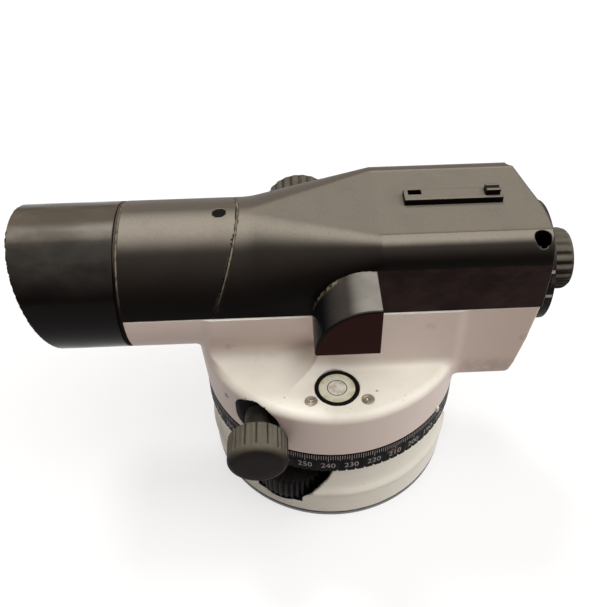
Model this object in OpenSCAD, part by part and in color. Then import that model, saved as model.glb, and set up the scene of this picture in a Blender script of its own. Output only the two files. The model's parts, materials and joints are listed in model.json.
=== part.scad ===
// Automatic optical level on a three-screw base. Millimetres, +Z up.
// Origin: centre of the base's underside, on the vertical axis. The objective looks along -X.

/* [Base plate] */
// Radius of the base plate's visible rim
rim_r = 51; // [50:0.1:51.4]
// Height of that rim
rim_h = 1.4; // [1:0.1:1.6]
// Radius of the plate inside the skirt
plate_r = 48.4; // [47.8:0.1:48.6]
// Height of the plate
plate_h = 3.4; // [3:0.1:4]
// Radius of the tripod thread's wall, 5/8 inch
thread_r = 7.94; // [7.9:0.01:8]
// Depth of the tripod thread
thread_depth = 11; // [9:0.5:11.5]
// Outer radius of the threaded bush
bush_r = 12; // [11:0.5:12.5]
// Radius of the central boss
boss_r = 15; // [14.5:0.1:15.2]
// Height of the central boss
boss_h = 13; // [12.8:0.1:13.2]
// Radius of the stud that holds the base together
stud_r = 7; // [6.5:0.1:7.1]
// Radius of the nut on that stud
hold_nut_r = 12; // [11:0.5:14]
// Height of that nut
hold_nut_h = 3.6; // [3:0.1:4]

/* [Foot screws] */
// Distance of each foot screw from the vertical axis
foot_circle_r = 36.8; // [36.4:0.1:37]
// Direction of the first foot screw
foot_az = -117.4; // [-119:0.2:-115]
// Radius of the ball at each foot
ball_r = 4; // [3.8:0.1:4.1]
// Height of the ball's centre
ball_z = 5; // [4.9:0.1:5.2]
// Radius of the pin that turns in the ball
pin_r = 2; // [1.8:0.1:2.2]
// Radius of the knurled disc
disc_r = 15.6; // [15.2:0.1:15.8]
// Thickness of the knurled disc
disc_h = 11.2; // [10:0.2:11.6]
// Number of flutes on the disc
disc_flutes = 40; // [36:1:44]
// Radius of the threaded shank
shank_r = 4; // [3.6:0.1:4.4]
// Outer radius of the threaded bushes
foot_bush_r = 6.6; // [6.2:0.1:7]

/* [Tribrach] */
// Lower edge of the skirt
skirt_z = 2.5; // [2.4:0.05:2.6]
// Radius of the skirt at its foot
skirt_r = 51.3; // [51:0.1:51.6]
// Radius of the skirt at its soft ridge
ridge_r = 52; // [51.7:0.1:52.2]
// Height of that ridge
ridge_z = 15.7; // [14:0.1:17]
// Radius of the skirt at its top
skirt_top_r = 50.5; // [50.2:0.1:51]
// Top of the deck
deck_z = 33; // [32.8:0.1:33.1]
// Thickness of the deck
deck_t = 5; // [4.5:0.1:5.4]
// Thickness of the skirt
skirt_t = 2.1; // [1.8:0.1:2.2]
// Radius of the window round each foot screw
window_r = 16.3; // [16:0.1:16.6]
// Lower edge of the windows
window_z = 8; // [7.5:0.1:8.2]
// Radius that the skirt's opening reaches at the deck's top
window_top_r = 24; // [23:0.2:25]
// Radius of the boss round each foot bush
foot_boss_r = 9; // [8.5:0.1:9.5]
// Inner radius of the hub under the deck
hub_in_r = 16; // [15.6:0.1:16.4]
// Wall of that hub
hub_t = 3; // [2.5:0.1:3.5]
// Radius of the collar that guides the circle
collar_r = 20; // [19.5:0.1:20.5]
// Height of the collar above the deck
collar_h = 5; // [4.5:0.1:5.5]

/* [Vertical axis] */
// Radius of the spindle
spindle_r = 9; // [8.5:0.1:9.5]
// Radius of the spindle's foot flange
spindle_flange_r = 17; // [16.5:0.1:17.5]
// Thickness of the spindle's foot flange
spindle_flange_h = 4; // [3.6:0.1:4.4]
// Radius of the spindle's nut
spindle_nut_r = 10.5; // [10:0.1:11]
// Pitch radius of the worm wheel
wheel_r = 26; // [25.5:0.1:26.5]
// Number of teeth on the worm wheel
wheel_teeth = 52; // [48:1:56]
// Thickness of the wheel's toothed rim
wheel_rim_h = 2.8; // [2.4:0.1:3.2]
// Thickness of the wheel's hub
wheel_hub_h = 7.5; // [7:0.1:7.8]
// Radius of the wheel's hub
wheel_hub_r = 19; // [18:0.1:19.4]

/* [Circle] */
// Outer radius of the graduated circle
circle_r = 52; // [51.8:0.1:52.2]
// Lower edge of the circle
circle_z = 33.44; // [33.4:0.02:33.6]
// Height of the circle's rim
circle_h = 10.86; // [10.6:0.02:10.9]
// Wall of the circle's rim
circle_t = 2.4; // [2:0.1:2.6]
// Thickness of the circle's web
circle_web = 2; // [1.8:0.1:2.4]
// Number of grip notches round the circle's lower edge
circle_notches = 90; // [60:1:90]

/* [Housing] */
// Height of the line of sight
axis_z = 94.17; // [94:0.05:94.4]
// Outer radius of the front tube and hood
tube_r = 27.48; // [27.3:0.02:27.6]
// Wall of the housing
wall = 2.5; // [2.3:0.05:2.6]
// Height of the joint between the white body and the black covers
split_z = 95.4; // [95:0.1:95.8]
// Front end of the body's tube
tube_front = -75.3; // [-76:0.1:-75]
// Rear end of the housing
rear_x = 73.6; // [73.2:0.1:74]
// Height of the rear cover's flat top
top_z = 124.06; // [123.6:0.02:124.4]
// Radius along the edges of that top
edge_r = 8.7; // [8:0.1:9.4]
// Underside of the rear box
box_z = 60.1; // [59.8:0.1:60.6]
// Front of the rear box
box_front = -6; // [-8:0.5:-4]
// Radius of the sweep between the front tube and the drum's top
sweep_r = 18; // [14:0.5:20]
// Lower edge of the drum
drum_z = 44.62; // [44.6:0.02:44.7]
// Top of the drum
drum_top_z = 68.27; // [68:0.01:68.5]
// Radius of the drum at its lower edge
drum_r = 52; // [51.8:0.1:52.2]
// Radius of the drum at its top
drum_top_r = 53.4; // [53:0.1:53.8]
// Radius along the drum's top edge
drum_edge_r = 3.6; // [3:0.1:4]
// Where the seam between the covers crosses the top
seam_x = -33.5; // [-35:0.1:-32]
// Lean of that seam
seam_lean = 20.8; // [18:0.2:22]
// Where the rear cover's round section ends
loft_front = -30; // [-32:0.5:-29]
// Where its box section starts
loft_rear = 16; // [14:0.5:18]

/* [Hood] */
// Front of the hood at its top
hood_front = -114.76; // [-116:0.1:-113]
// Lean of the hood's mouth
hood_lean = 15; // [12:0.5:17]
// Width of the groove between the hood and the tube
hood_gap = 1.5; // [1.2:0.1:1.8]

/* [Optics] */
// Radius of the objective
objective_r = 18; // [17:0.1:19]
// Front of the objective's cell
cell_front = -97; // [-97.5:0.1:-96.5]
// Radius of the focusing carriage
carriage_r = 13.98; // [13.6:0.02:14.2]
// Front of the carriage
carriage_front = -56; // [-57:0.5:-55.5]
// Rear of the carriage
carriage_rear = -17; // [-17.5:0.1:-16.8]
// Travel of the carriage each way
focus_travel = 8; // [6:0.5:8]
// Where the focusing shaft stands along the telescope
focus_x = -10.5; // [-10.7:0.1:-10.3]
// Tooth module of the focusing rack
focus_module = 0.5; // [0.48:0.01:0.52]
// Teeth on the focusing pinion
pinion_teeth = 12; // [12:1:13]
// Radius of the focusing knob
focus_knob_r = 14.3; // [13.8:0.1:14.8]
// Length of the focusing knob
focus_knob_h = 13; // [12:0.5:14]
// Height of the pendulum's suspension
pivot_z = 108; // [107.6:0.1:108.2]
// Half width of the compensator's opening
cheek_y = 11; // [10.5:0.1:11.5]
// Radius of the eyepiece's back plate
flange_r = 22.6; // [22:0.1:23]
// Radius of the eyepiece ring
eye_ring_r = 11.6; // [11.4:0.1:12]
// Rear end of the eyepiece ring
eye_rear = 89; // [88.6:0.1:89.6]
// Radius of the bore that the ocular slides in
ocular_r = 8; // [7.8:0.02:8.2]

/* [Tangent screw] */
// Height of the tangent screw
worm_z = 53.8; // [53.6:0.1:54]
// Radius of the tangent screw's thread at half depth
worm_r = 3.3; // [3.2:0.05:3.4]
// Half depth of that thread
worm_depth = 0.6; // [0.55:0.01:0.65]
// Radius of the tangent screw's shaft
worm_shaft_r = 3.2; // [3:0.1:3.4]
// Radius of the tangent knobs
knob_r = 11.3; // [11.1:0.1:11.4]
// Inner face of the tangent knobs
knob_y = 49.6; // [49.5:0.1:50.2]
// Length of the tangent knobs
knob_h = 12.2; // [11.4:0.2:12.8]
// Half width of the upright recess behind each knob
recess_r = 8.2; // [8:0.1:8.6]
// Height of the recess's round top above the tangent screw
recess_rise = 4.8; // [4.4:0.1:5]
// Distance of the recess floor from the telescope's plane
recess_y = 38; // [37.5:0.1:38.4]

/* [Circular level] */
// Place of the circular level along the telescope
bubble_x = 0.25; // [0:0.05:0.5]
// Place of the circular level beside the telescope
bubble_y = -38.5; // [-38.7:0.1:-38.3]
// Outer radius of the level's black ring
bubble_r = 8.3; // [8:0.1:8.6]
// Radius of the level's glass
vial_r = 6.8; // [6.6:0.1:7]
// Front of the mirror housing
mirror_front = -8.3; // [-8.6:0.1:-8]
// Rear of the mirror housing
mirror_rear = 14; // [13.6:0.1:14.4]
// Reach of the mirror housing from the telescope's plane
mirror_y = 46.6; // [46:0.1:47]
// Radius of the mirror housing's curve
mirror_r = 20.1; // [19.8:0.1:20.4]

/* [Clearances] */
// Radial running clearance of shafts and slides
run_gap = 0.06; // [0.04:0.01:0.08]
// Clearance between bodies that move past each other
move_gap = 0.3; // [0.28:0.01:0.34]
// Clearance between pieces that are fixed to each other
fit_gap = 0.02; // [0.01:0.01:0.04]
// Axial play of the hold-down rings
ring_play = 0.5; // [0.46:0.01:0.55]

/* [Hidden] */
$fn = 64;

// Larger than the whole level, for cutting planes
big = 400;
// How far a cut runs on past what it cuts, and how far a boss runs into its wall
over = 1;
sink = 0.1;
thin = 0.01;
tube_in = tube_r - wall;

// Levelling base, worked upwards from the balls
shoe_pad = 3.2;
shoe_play = 0.15;
shoe_top = ball_z + 0.6 * ball_r;
shoe_hole_z = ball_z - 0.5 * ball_r;
pin_z = ball_z - 0.4 * ball_r;
screw_shoulder = shoe_top + move_gap;
shoulder_r = pin_r + 1.4;
disc_z = screw_shoulder + 1.6;
flute_depth = 0.8;
shank_top = deck_z - 1.5;
foot_bush_z = deck_z - deck_t - 4;
flange_bottom = boss_h + 1;
flange_top = flange_bottom + 3;
cup_z = flange_top + ring_play;
ring_h = 1;
spring_z = cup_z + ring_h + ring_play;
hold_nut_z = spring_z + ring_h + ring_play;
ring_in_r = stud_r + 0.6;
ring_out_r = hub_in_r - 2;
flange_in_r = stud_r + 1.5;
ridge_half = 1;
rib_t = 3;
rib_z = flange_bottom - 2;

// Vertical axis
spindle_flange_z = deck_z + spindle_flange_h;
floor_z = drum_z + 0.18;
floor_t = 1.6;
bearing_top = floor_z + floor_t + 3;
wheel_z = bearing_top + move_gap;
wheel_top = wheel_z + wheel_hub_h;
upper_bearing_z = wheel_top + move_gap;
upper_bearing_top = upper_bearing_z + 5;
spindle_neck_r = spindle_r - 2;
spindle_nut_z = upper_bearing_top + move_gap;
spindle_nut_h = 2.2;
nut_pocket_r = spindle_nut_r + 1;
nut_pocket_top = spindle_nut_z + spindle_nut_h + 0.4;
nut_pocket_wall = 2.5;
bearing_r = spindle_r + run_gap;
bearing_hub_r = spindle_r + 4.5;
worm_x = -(wheel_r + worm_r + 0.5);
worm_lead = 2 * PI * wheel_r / wheel_teeth;
worm_turns = 4.5;
worm_bore = 2;
rim_seat_r = wheel_r - 4;
spindle_screw_r = 1.9;
spindle_head_r = 3.2;
spindle_head_h = 2.4;
spindle_screw_circle = spindle_r + 4;
clip_w = 3;
clip_t = 1;
notch = 1.4;
notch_z = 1.6;

// Drum
drum_in_r = drum_r - 1.8;
drum_roof_z = drum_top_z - wall;
floor_r = drum_in_r - move_gap;
recess_wall = 2.5;
post_circle = drum_in_r - 6;
post_r = 3.5;
post_angles = [0, 90, 180];
post_screw_r = 1.4;
post_screw_h = 8;
post_head_r = 2.6;
index_az = -39;
index_w = 1.2;
index_h = 2.4;
index_reach = 0.9;
vent_az = -142;
vent_above = 14.4;
vent_z = drum_z + vent_above;
vent_r = 0.9;

// Telescope housing
body_floor_z = axis_z - tube_in;
cavity_rear = rear_x - wall;
seam_gap = 0.1;
cover_z = split_z + seam_gap;
screw_inset_x = 3.6;
screw_inset_y = 5.78;
screw_depth = 12.06;
screw_x = rear_x - screw_inset_x;
screw_y = tube_r - screw_inset_y;
screw_seat_z = top_z - screw_depth;
screw_post_r = 4;
screw_post_above = 8;
screw_post_z = box_z + screw_post_above;
cover_screw_r = 1.5;
cover_head_r = 2.3;
cover_head_h = 1.8;
counterbore_r = 2.5;
front_screw_back = 6.7;
front_screw_x = seam_x - front_screw_back;
front_screw_r = 1.3;
front_screw_depth = 1.6;
front_head_h = 1.4;
panel_x = 12;
panel_t = 0.5;
panel_top = top_z - edge_r - 0.2;
// How far the rear wall leans in at each height above the box's underside
rear_lean = [[29.6, 0.6], [18.1, 2], [5.3, 4.4], [1.6, 5.6], [0, 7.2]];
cavity_lean = 5.2;
spigot_x = cavity_rear - 2 * over;
spigot_hole_x = cavity_rear - cavity_lean - over;
sweep_z = drum_top_z + sweep_r;
sweep_y = sqrt(pow(tube_r + sweep_r, 2) - pow(axis_z - sweep_z, 2));
sweep_top = axis_z - (axis_z - sweep_z) * tube_r / (tube_r + sweep_r);

// Sight rail
rail_x = 25.7;
rail_l = 34.6;
rail_w = 7;
rail_foot = 1.2;
rail_h = 2.5;
rail_neck_w = 4.4;
notch_x = 1.5;
notch_l = 4.1;
rear_sight_x = 28.1;
rear_sight_l = 6.2;
rear_sight_h = 4.4;
rear_notch_w = 1;

// Hood and objective
hood_rear = tube_front - hood_gap;
hood_reach = 5;
cell_r = tube_in - fit_gap;
cell_rear = tube_front + 5;
cell_wall = 2;
objective_clear = objective_r - 1.5;
lens_curve = 60;
flint_rear_curve = 240;
glass_gap = 0.05;
seat_gap = 0.2;
crown_t = 7;
flint_t = 3.5;
crown_front = cell_front + 2;
flint_front = crown_front + crown_t + glass_gap;
flint_rear = crown_front + crown_t + flint_t;

// Focusing
guide_in = carriage_r + run_gap;
guide_r = guide_in + 2.4;
guide_front = carriage_front - focus_travel - 0.5;
guide_rear = carriage_rear - focus_travel - 5;
barrel_front = cell_rear + seat_gap;
barrel_rear = guide_rear - 6;
barrel_web = 2;
carriage_wall = 2.4;
carriage_lens_t = 4.6;
carriage_lens_curve = 45;
bracket_l = 4;
bracket_x = carriage_rear - bracket_l;
bracket_y = carriage_r - 5;
pinion_r = focus_module * pinion_teeth / 2;
pressure_angle = 20;
tooth_half = 0.21;
rack_pitch = PI * focus_module;
rack_teeth = 14;
rack_z = axis_z - pinion_r;
rack_y = carriage_r + 3;
rack_w = 4;
rack_body_h = 3.6;
rack_base_z = rack_z - 1.4 - rack_body_h;
focus_shaft_r = 2.5;
focus_hex_r = 1.5;
focus_bush_r = 5;
focus_bush_y = rack_y + rack_w + 1;
bush_flange_r = focus_bush_r + 2;
bush_flange_t = 1.2;
focus_knob_y = tube_r + 1.6;
focus_flutes = 24;
knob_bore = 8;
knob_hollow = 4;

// Compensator
comp_front = 0;
comp_rear = 40;
comp_plate = 2;
comp_foot = 10;
comp_z = body_floor_z + 0.02;
comp_deck = comp_z + comp_plate - sink;
comp_roof = top_z - wall - 2 * move_gap;
stop_w = 4;
stop_l = 3;
stop_h = 6;
prism_half = 8;
pendulum_front = 14;
pendulum_rear = 26;
pendulum_middle = (pendulum_front + pendulum_rear) / 2;
pendulum_wall = 1.5;
pendulum_under = 4;
pendulum_top = axis_z + prism_half + 3;
tape_w = 1.2;
tape_t = 0.4;
tape_x = 3;
tape_y = 7;
vane_w = 3.2;
vane_t = 2;
vane_h = 7;

// Eyepiece
eye_front = 50;
reticle_l = 6;
reticle_step = 1.2;
reticle_r = 4.6;
eye_tube_in = ocular_r + run_gap;
eye_tube_r = eye_tube_in + 1.4;
eye_spigot_r = eye_tube_r + 2.6;
flange_front = rear_x + 1.4;
flange_rear = flange_front + 4;
eye_ring_front = flange_rear + move_gap;
eye_tube_rear = eye_rear - 4.5;
eye_flutes = 20;
eye_clear = 6.5;
eye_cup_r = 8.6;
eye_cup_depth = 2.4;
ocular_travel = 2;
ocular_wall = 1.4;
ocular_inset = 10;
ocular_front = eye_front + ocular_inset;
ocular_rear = eye_tube_rear - ocular_travel - over;
ocular_lens_t = 4.2;
ocular_curve = 20;

// Tangent screw
worm_bush_r = 5;
worm_bush_in = 5;
knob_flutes = 18;
knob_flute_depth = 0.7;
knob_face = 1.2;
knob_seat = 8.4;

// Circular level
bubble_under = 4;
bubble_rim_r = 14.5;
bubble_rim_t = 1.6;
vial_under = 2.6;
housing_screw_r = 1.1;
housing_head_r = 2.3;
housing_head_z = 1.6;
housing_head_h = 1.5;
housing_screws = [[-9.95, -5.7], [10.85, -5.8]];
mirror_wall = 1.6;
mirror_foot_x = 4.2;
mirror_foot_z = 3.4;
mirror_play = 0.3;
mirror_l = 18;
mirror_t = 1.4;

function polar(r, a) = [r * cos(a), r * sin(a)];

module along_x(x) {
    translate([x, 0, axis_z]) rotate([0, 90, 0]) children();
}

module along_y(x, y, z) {
    translate([x, y, z]) rotate([-90, 0, 0]) children();
}

module tube(ro, ri, h) {
    difference() {
        cylinder(r = ro, h = h);
        translate([0, 0, -over]) cylinder(r = ri, h = h + 2 * over);
    }
}

module at_foot(k) {
    rotate([0, 0, foot_az + 120 * (k - 1)]) translate([foot_circle_r, 0, 0]) children();
}

module at_feet() {
    for (k = [1:3]) at_foot(k) children();
}

module above(z) {
    translate([-big / 2, -big / 2, z]) cube([big, big, big]);
}

module below(z) {
    above(z - big);
}

// The space behind the leaning seam between the two covers
module behind_seam(shift) {
    translate([seam_x + shift, 0, axis_z + tube_r])
        rotate([0, seam_lean, 0])
            translate([0, -big / 2, -big / 2]) cube([big, big, big]);
}

// A grip outline: round lobes between narrow valleys
module fluted(r, flutes, depth) {
    steps = flutes * 6;
    polygon([for (i = [0:steps - 1])
        polar(r - depth * pow(abs(cos(180 * i / 6)), 6), 360 * i / steps)]);
}

// Depth of a spherical surface of radius curve at distance r from its middle
function sag(curve, r) = curve - sqrt(curve * curve - r * r);

// A lens lying on z = 0 to t at its axis; a side bulges for a positive curve, is hollow for a negative one
module lens(r, t, front, rear) {
    n = 10;
    rotate_extrude() polygon(concat(
        [for (i = [0:n]) let (x = r * i / n) [x, sign(front) * sag(abs(front), x)]],
        [for (i = [n:-1:0]) let (x = r * i / n) [x, t - sign(rear) * sag(abs(rear), x)]]));
}

module base_plate() {
    color("dimgray")
    difference() {
        union() {
            cylinder(r = rim_r, h = rim_h);
            cylinder(r = plate_r, h = plate_h);
            cylinder(r = boss_r, h = boss_h);
            cylinder(r = stud_r, h = hold_nut_z + hold_nut_h);
            at_feet() cylinder(r = ball_r + shoe_pad, h = ball_z);
        }
        translate([0, 0, -over]) cylinder(r = bush_r + fit_gap, h = thread_depth + over);
        at_feet() translate([0, 0, ball_z]) sphere(r = ball_r + shoe_play);
    }
}

module tripod_bush() {
    color("darkgoldenrod") tube(bush_r, thread_r, thread_depth);
}

module hold_down_nut() {
    color("silver")
    translate([0, 0, hold_nut_z])
        difference() {
            cylinder(r = hold_nut_r, h = hold_nut_h, $fn = 6);
            translate([0, 0, -over]) cylinder(r = stud_r + fit_gap, h = hold_nut_h + 2 * over);
        }
}

module disc_spring() {
    color("gray") translate([0, 0, spring_z]) tube(ring_out_r, ring_in_r, ring_h);
}

module spring_cup() {
    color("gray") translate([0, 0, cup_z]) tube(ring_out_r, ring_in_r, ring_h);
}

// Everything that is cut away in front of a foot screw, less the arm that holds its bush
module window() {
    difference() {
        translate([0, 0, window_z]) {
            cylinder(r = window_r, h = deck_z);
            difference() {
                cylinder(r1 = window_r, r2 = window_top_r, h = deck_z + over - window_z);
                translate([-foot_circle_r, 0, -over])
                    cylinder(r = skirt_top_r - 2 * skirt_t, h = deck_z + 2 * over);
            }
        }
        translate([0, 0, foot_bush_z]) cylinder(r = foot_boss_r, h = deck_z);
        translate([-foot_circle_r, -foot_boss_r, foot_bush_z + over])
            cube([foot_circle_r, 2 * foot_boss_r, deck_z]);
    }
}

module at_spindle_screws(z) {
    for (k = [0:3]) rotate([0, 0, 45 + 90 * k]) translate([spindle_screw_circle, 0, z]) children();
}

module tribrach() {
    color("ivory")
    difference() {
        union() {
            rotate_extrude() polygon([
                [skirt_r - skirt_t, skirt_z], [skirt_r, skirt_z], [skirt_r + sink, ridge_z - ridge_half],
                [ridge_r, ridge_z], [ridge_r - 2 * sink, ridge_z + ridge_half], [skirt_top_r, deck_z],
                [0, deck_z], [0, deck_z - deck_t], [skirt_top_r - skirt_t, deck_z - deck_t]]);
            translate([0, 0, flange_bottom]) tube(hub_in_r + hub_t, hub_in_r, deck_z - flange_bottom);
            translate([0, 0, flange_bottom])
                tube(hub_in_r + sink, flange_in_r, flange_top - flange_bottom);
            at_feet() translate([0, 0, foot_bush_z]) cylinder(r = foot_boss_r, h = deck_z - foot_bush_z);
            for (k = [0:2]) rotate([0, 0, foot_az + 60 + 120 * k])
                translate([hub_in_r + over, -rib_t / 2, rib_z])
                    cube([skirt_r - skirt_t - hub_in_r, rib_t, deck_z - over - rib_z]);
            translate([0, 0, deck_z - over]) tube(collar_r, spindle_flange_r + fit_gap, collar_h + over);
        }
        at_feet() window();
        at_feet() cylinder(r = foot_bush_r + fit_gap, h = deck_z + over);
        at_spindle_screws(deck_z - deck_t - over)
            cylinder(r = spindle_screw_r + fit_gap, h = deck_t + 2 * over);
    }
}

module foot_bushes() {
    color("darkgoldenrod")
    at_feet() translate([0, 0, foot_bush_z]) tube(foot_bush_r, shank_r + run_gap, deck_z - foot_bush_z);
}

module foot_shoe(k) {
    color("silver")
    at_foot(k)
        difference() {
            intersection() {
                translate([0, 0, ball_z]) sphere(r = ball_r);
                cylinder(r = ball_r + over, h = shoe_top);
            }
            translate([0, 0, shoe_hole_z]) cylinder(r = pin_r + run_gap, h = 2 * ball_r);
        }
}

module foot_shoe_1() { foot_shoe(1); }

module foot_shoe_2() { foot_shoe(2); }

module foot_shoe_3() { foot_shoe(3); }

module foot_screw(k) {
    color("black")
    at_foot(k) {
        translate([0, 0, pin_z]) cylinder(r = pin_r, h = disc_z - pin_z + sink);
        translate([0, 0, screw_shoulder]) cylinder(r = shoulder_r, h = disc_z - screw_shoulder + sink);
        translate([0, 0, disc_z]) linear_extrude(disc_h) fluted(disc_r, disc_flutes, flute_depth);
        translate([0, 0, disc_z + over]) cylinder(r = shank_r, h = shank_top - disc_z - over);
    }
}

module foot_screw_1() { foot_screw(1); }

module foot_screw_2() { foot_screw(2); }

module foot_screw_3() { foot_screw(3); }

module spindle() {
    color("silver")
    difference() {
        union() {
            translate([0, 0, deck_z]) cylinder(r = spindle_flange_r, h = spindle_flange_h);
            translate([0, 0, deck_z]) cylinder(r = spindle_r, h = upper_bearing_top - deck_z);
            translate([0, 0, deck_z])
                cylinder(r = spindle_neck_r, h = spindle_nut_z + spindle_nut_h - deck_z);
        }
        at_spindle_screws(deck_z - over)
            cylinder(r = spindle_screw_r + fit_gap, h = spindle_flange_h + 2 * over);
    }
}

module spindle_screws() {
    color("silver")
    at_spindle_screws(0) {
        translate([0, 0, deck_z - deck_t + over])
            cylinder(r = spindle_screw_r, h = deck_t + spindle_flange_h);
        translate([0, 0, spindle_flange_z]) cylinder(r = spindle_head_r, h = spindle_head_h);
    }
}

module spindle_nut() {
    color("silver")
    translate([0, 0, spindle_nut_z]) tube(spindle_nut_r, spindle_neck_r + fit_gap, spindle_nut_h);
}

module circle_clip() {
    color("gray")
    translate([0, 0, circle_z + circle_web + move_gap]) tube(collar_r + clip_w, collar_r + fit_gap, clip_t);
}

module circle_ring() {
    color("black")
    difference() {
        union() {
            translate([0, 0, circle_z]) tube(circle_r, circle_r - circle_t, circle_h);
            translate([0, 0, circle_z]) tube(circle_r - over, collar_r + run_gap, circle_web);
        }
        for (k = [0:circle_notches - 1]) rotate([0, 0, 360 * k / circle_notches])
            translate([circle_r + notch / 2, 0, circle_z]) rotate([0, 0, 45])
                cube([notch * sqrt(2), notch * sqrt(2), 2 * notch_z], center = true);
    }
}

module wheel_hub() {
    color("silver")
    difference() {
        union() {
            translate([0, 0, wheel_z]) cylinder(r = wheel_hub_r, h = wheel_hub_h);
            translate([0, 0, worm_z - wheel_rim_h / 2])
                cylinder(r = rim_seat_r, h = wheel_rim_h, $fn = 12);
        }
        translate([0, 0, wheel_z - over]) cylinder(r = bearing_r, h = wheel_hub_h + 2 * over);
    }
}

// Straight teeth that stand in the thread's valleys: one every turn of the tangent screw
module wheel_rim() {
    tip_r = wheel_r + 1.5 * worm_depth;
    mid_r = wheel_r + 0.67 * worm_depth;
    root_r = wheel_r - 1.17 * worm_depth;
    pitch = 360 / wheel_teeth;
    color("goldenrod")
    translate([0, 0, worm_z - wheel_rim_h / 2])
        linear_extrude(wheel_rim_h)
            difference() {
                polygon([for (k = [0:wheel_teeth - 1]) let (a = 180 + pitch * k)
                    each [polar(root_r, a - pitch * 0.36), polar(mid_r, a - pitch * 0.17),
                        polar(tip_r, a - pitch * 0.07), polar(tip_r, a + pitch * 0.07),
                        polar(mid_r, a + pitch * 0.17), polar(root_r, a + pitch * 0.36)]]);
                circle(r = rim_seat_r + fit_gap, $fn = 12);
            }
}

// Outline of the lower housing's box, seen from the side
module box_side() {
    polygon(concat([[box_front, split_z], [rear_x, split_z]],
        [for (p = rear_lean) [rear_x - p[1], box_z + p[0]]], [[box_front, box_z]]));
}

// The hollow behind that outline, deeper where the box overhangs the drum
module box_cavity() {
    polygon(concat([[box_front + wall, split_z + over], [cavity_rear, split_z + over]],
        [for (p = rear_lean) if (p[0] > wall) [cavity_rear - p[1], box_z + p[0]]],
        [[cavity_rear - cavity_lean, box_z + wall], [drum_top_r, box_z + wall],
        [drum_top_r, body_floor_z], [box_front + wall, body_floor_z]]));
}

// Fills the hollow between the round tube and the drum's top with a concave sweep on each side
module sweep() {
    intersection() {
        translate([-drum_top_r, 0, 0]) rotate([90, 0, 90]) linear_extrude(drum_top_r + box_front + over)
            for (s = [-1, 1])
                difference() {
                    translate([s > 0 ? 0 : -sweep_y, drum_top_z - over])
                        square([sweep_y, sweep_top - drum_top_z + over]);
                    translate([s * sweep_y, sweep_z]) circle(r = sweep_r);
                }
        cylinder(r = drum_top_r, h = axis_z);
    }
}

// Upright slot with round ends, from the tangent screw's level up
module recess_slot(r, h) {
    hull()
        for (rise = [0, recess_rise]) translate([0, -rise, 0]) cylinder(r = r, h = h);
}

module recess_space() {
    for (s = [-1, 1]) along_y(worm_x, s > 0 ? recess_y : -recess_y - drum_r, worm_z)
        recess_slot(recess_r, drum_r);
}

module recess_shell(grow) {
    reach = drum_r - recess_y;
    for (s = [-1, 1])
        along_y(worm_x, s > 0 ? recess_y - recess_wall - grow : -recess_y - reach, worm_z)
            recess_slot(recess_r + recess_wall + grow, reach + recess_wall + grow);
}

module drum_outer() {
    rotate_extrude() {
        polygon([[0, drum_z], [drum_r, drum_z], [drum_top_r, drum_top_z - drum_edge_r],
            [drum_top_r - drum_edge_r, drum_top_z], [0, drum_top_z]]);
        translate([drum_top_r - drum_edge_r, drum_top_z - drum_edge_r]) circle(r = drum_edge_r);
    }
}

module posts(r, z, h) {
    for (a = post_angles) rotate([0, 0, a]) translate([post_circle, 0, z]) cylinder(r = r, h = h);
}

module at_housing_screws(z) {
    for (p = housing_screws) translate([bubble_x + p[0], bubble_y + p[1], z]) children();
}

// Bore in the housing's side for the focusing shaft's bush
module focus_bush_hole() {
    along_y(focus_x, focus_bush_y, axis_z) cylinder(r = focus_bush_r + fit_gap, h = tube_r);
}

module lower_body_shell() {
    difference() {
        union() {
            drum_outer();
            sweep();
            along_x(tube_front) cylinder(r = tube_r, h = -tube_front);
            translate([0, tube_r, 0]) rotate([90, 0, 0]) linear_extrude(2 * tube_r) box_side();
        }
        translate([0, 0, drum_z - over]) cylinder(r = drum_in_r, h = drum_roof_z - drum_z + over);
        along_x(tube_front - over) cylinder(r = tube_in, h = over - tube_front + drum_edge_r);
        translate([0, tube_in, 0]) rotate([90, 0, 0]) linear_extrude(2 * tube_in) box_cavity();
    }
}

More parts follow.
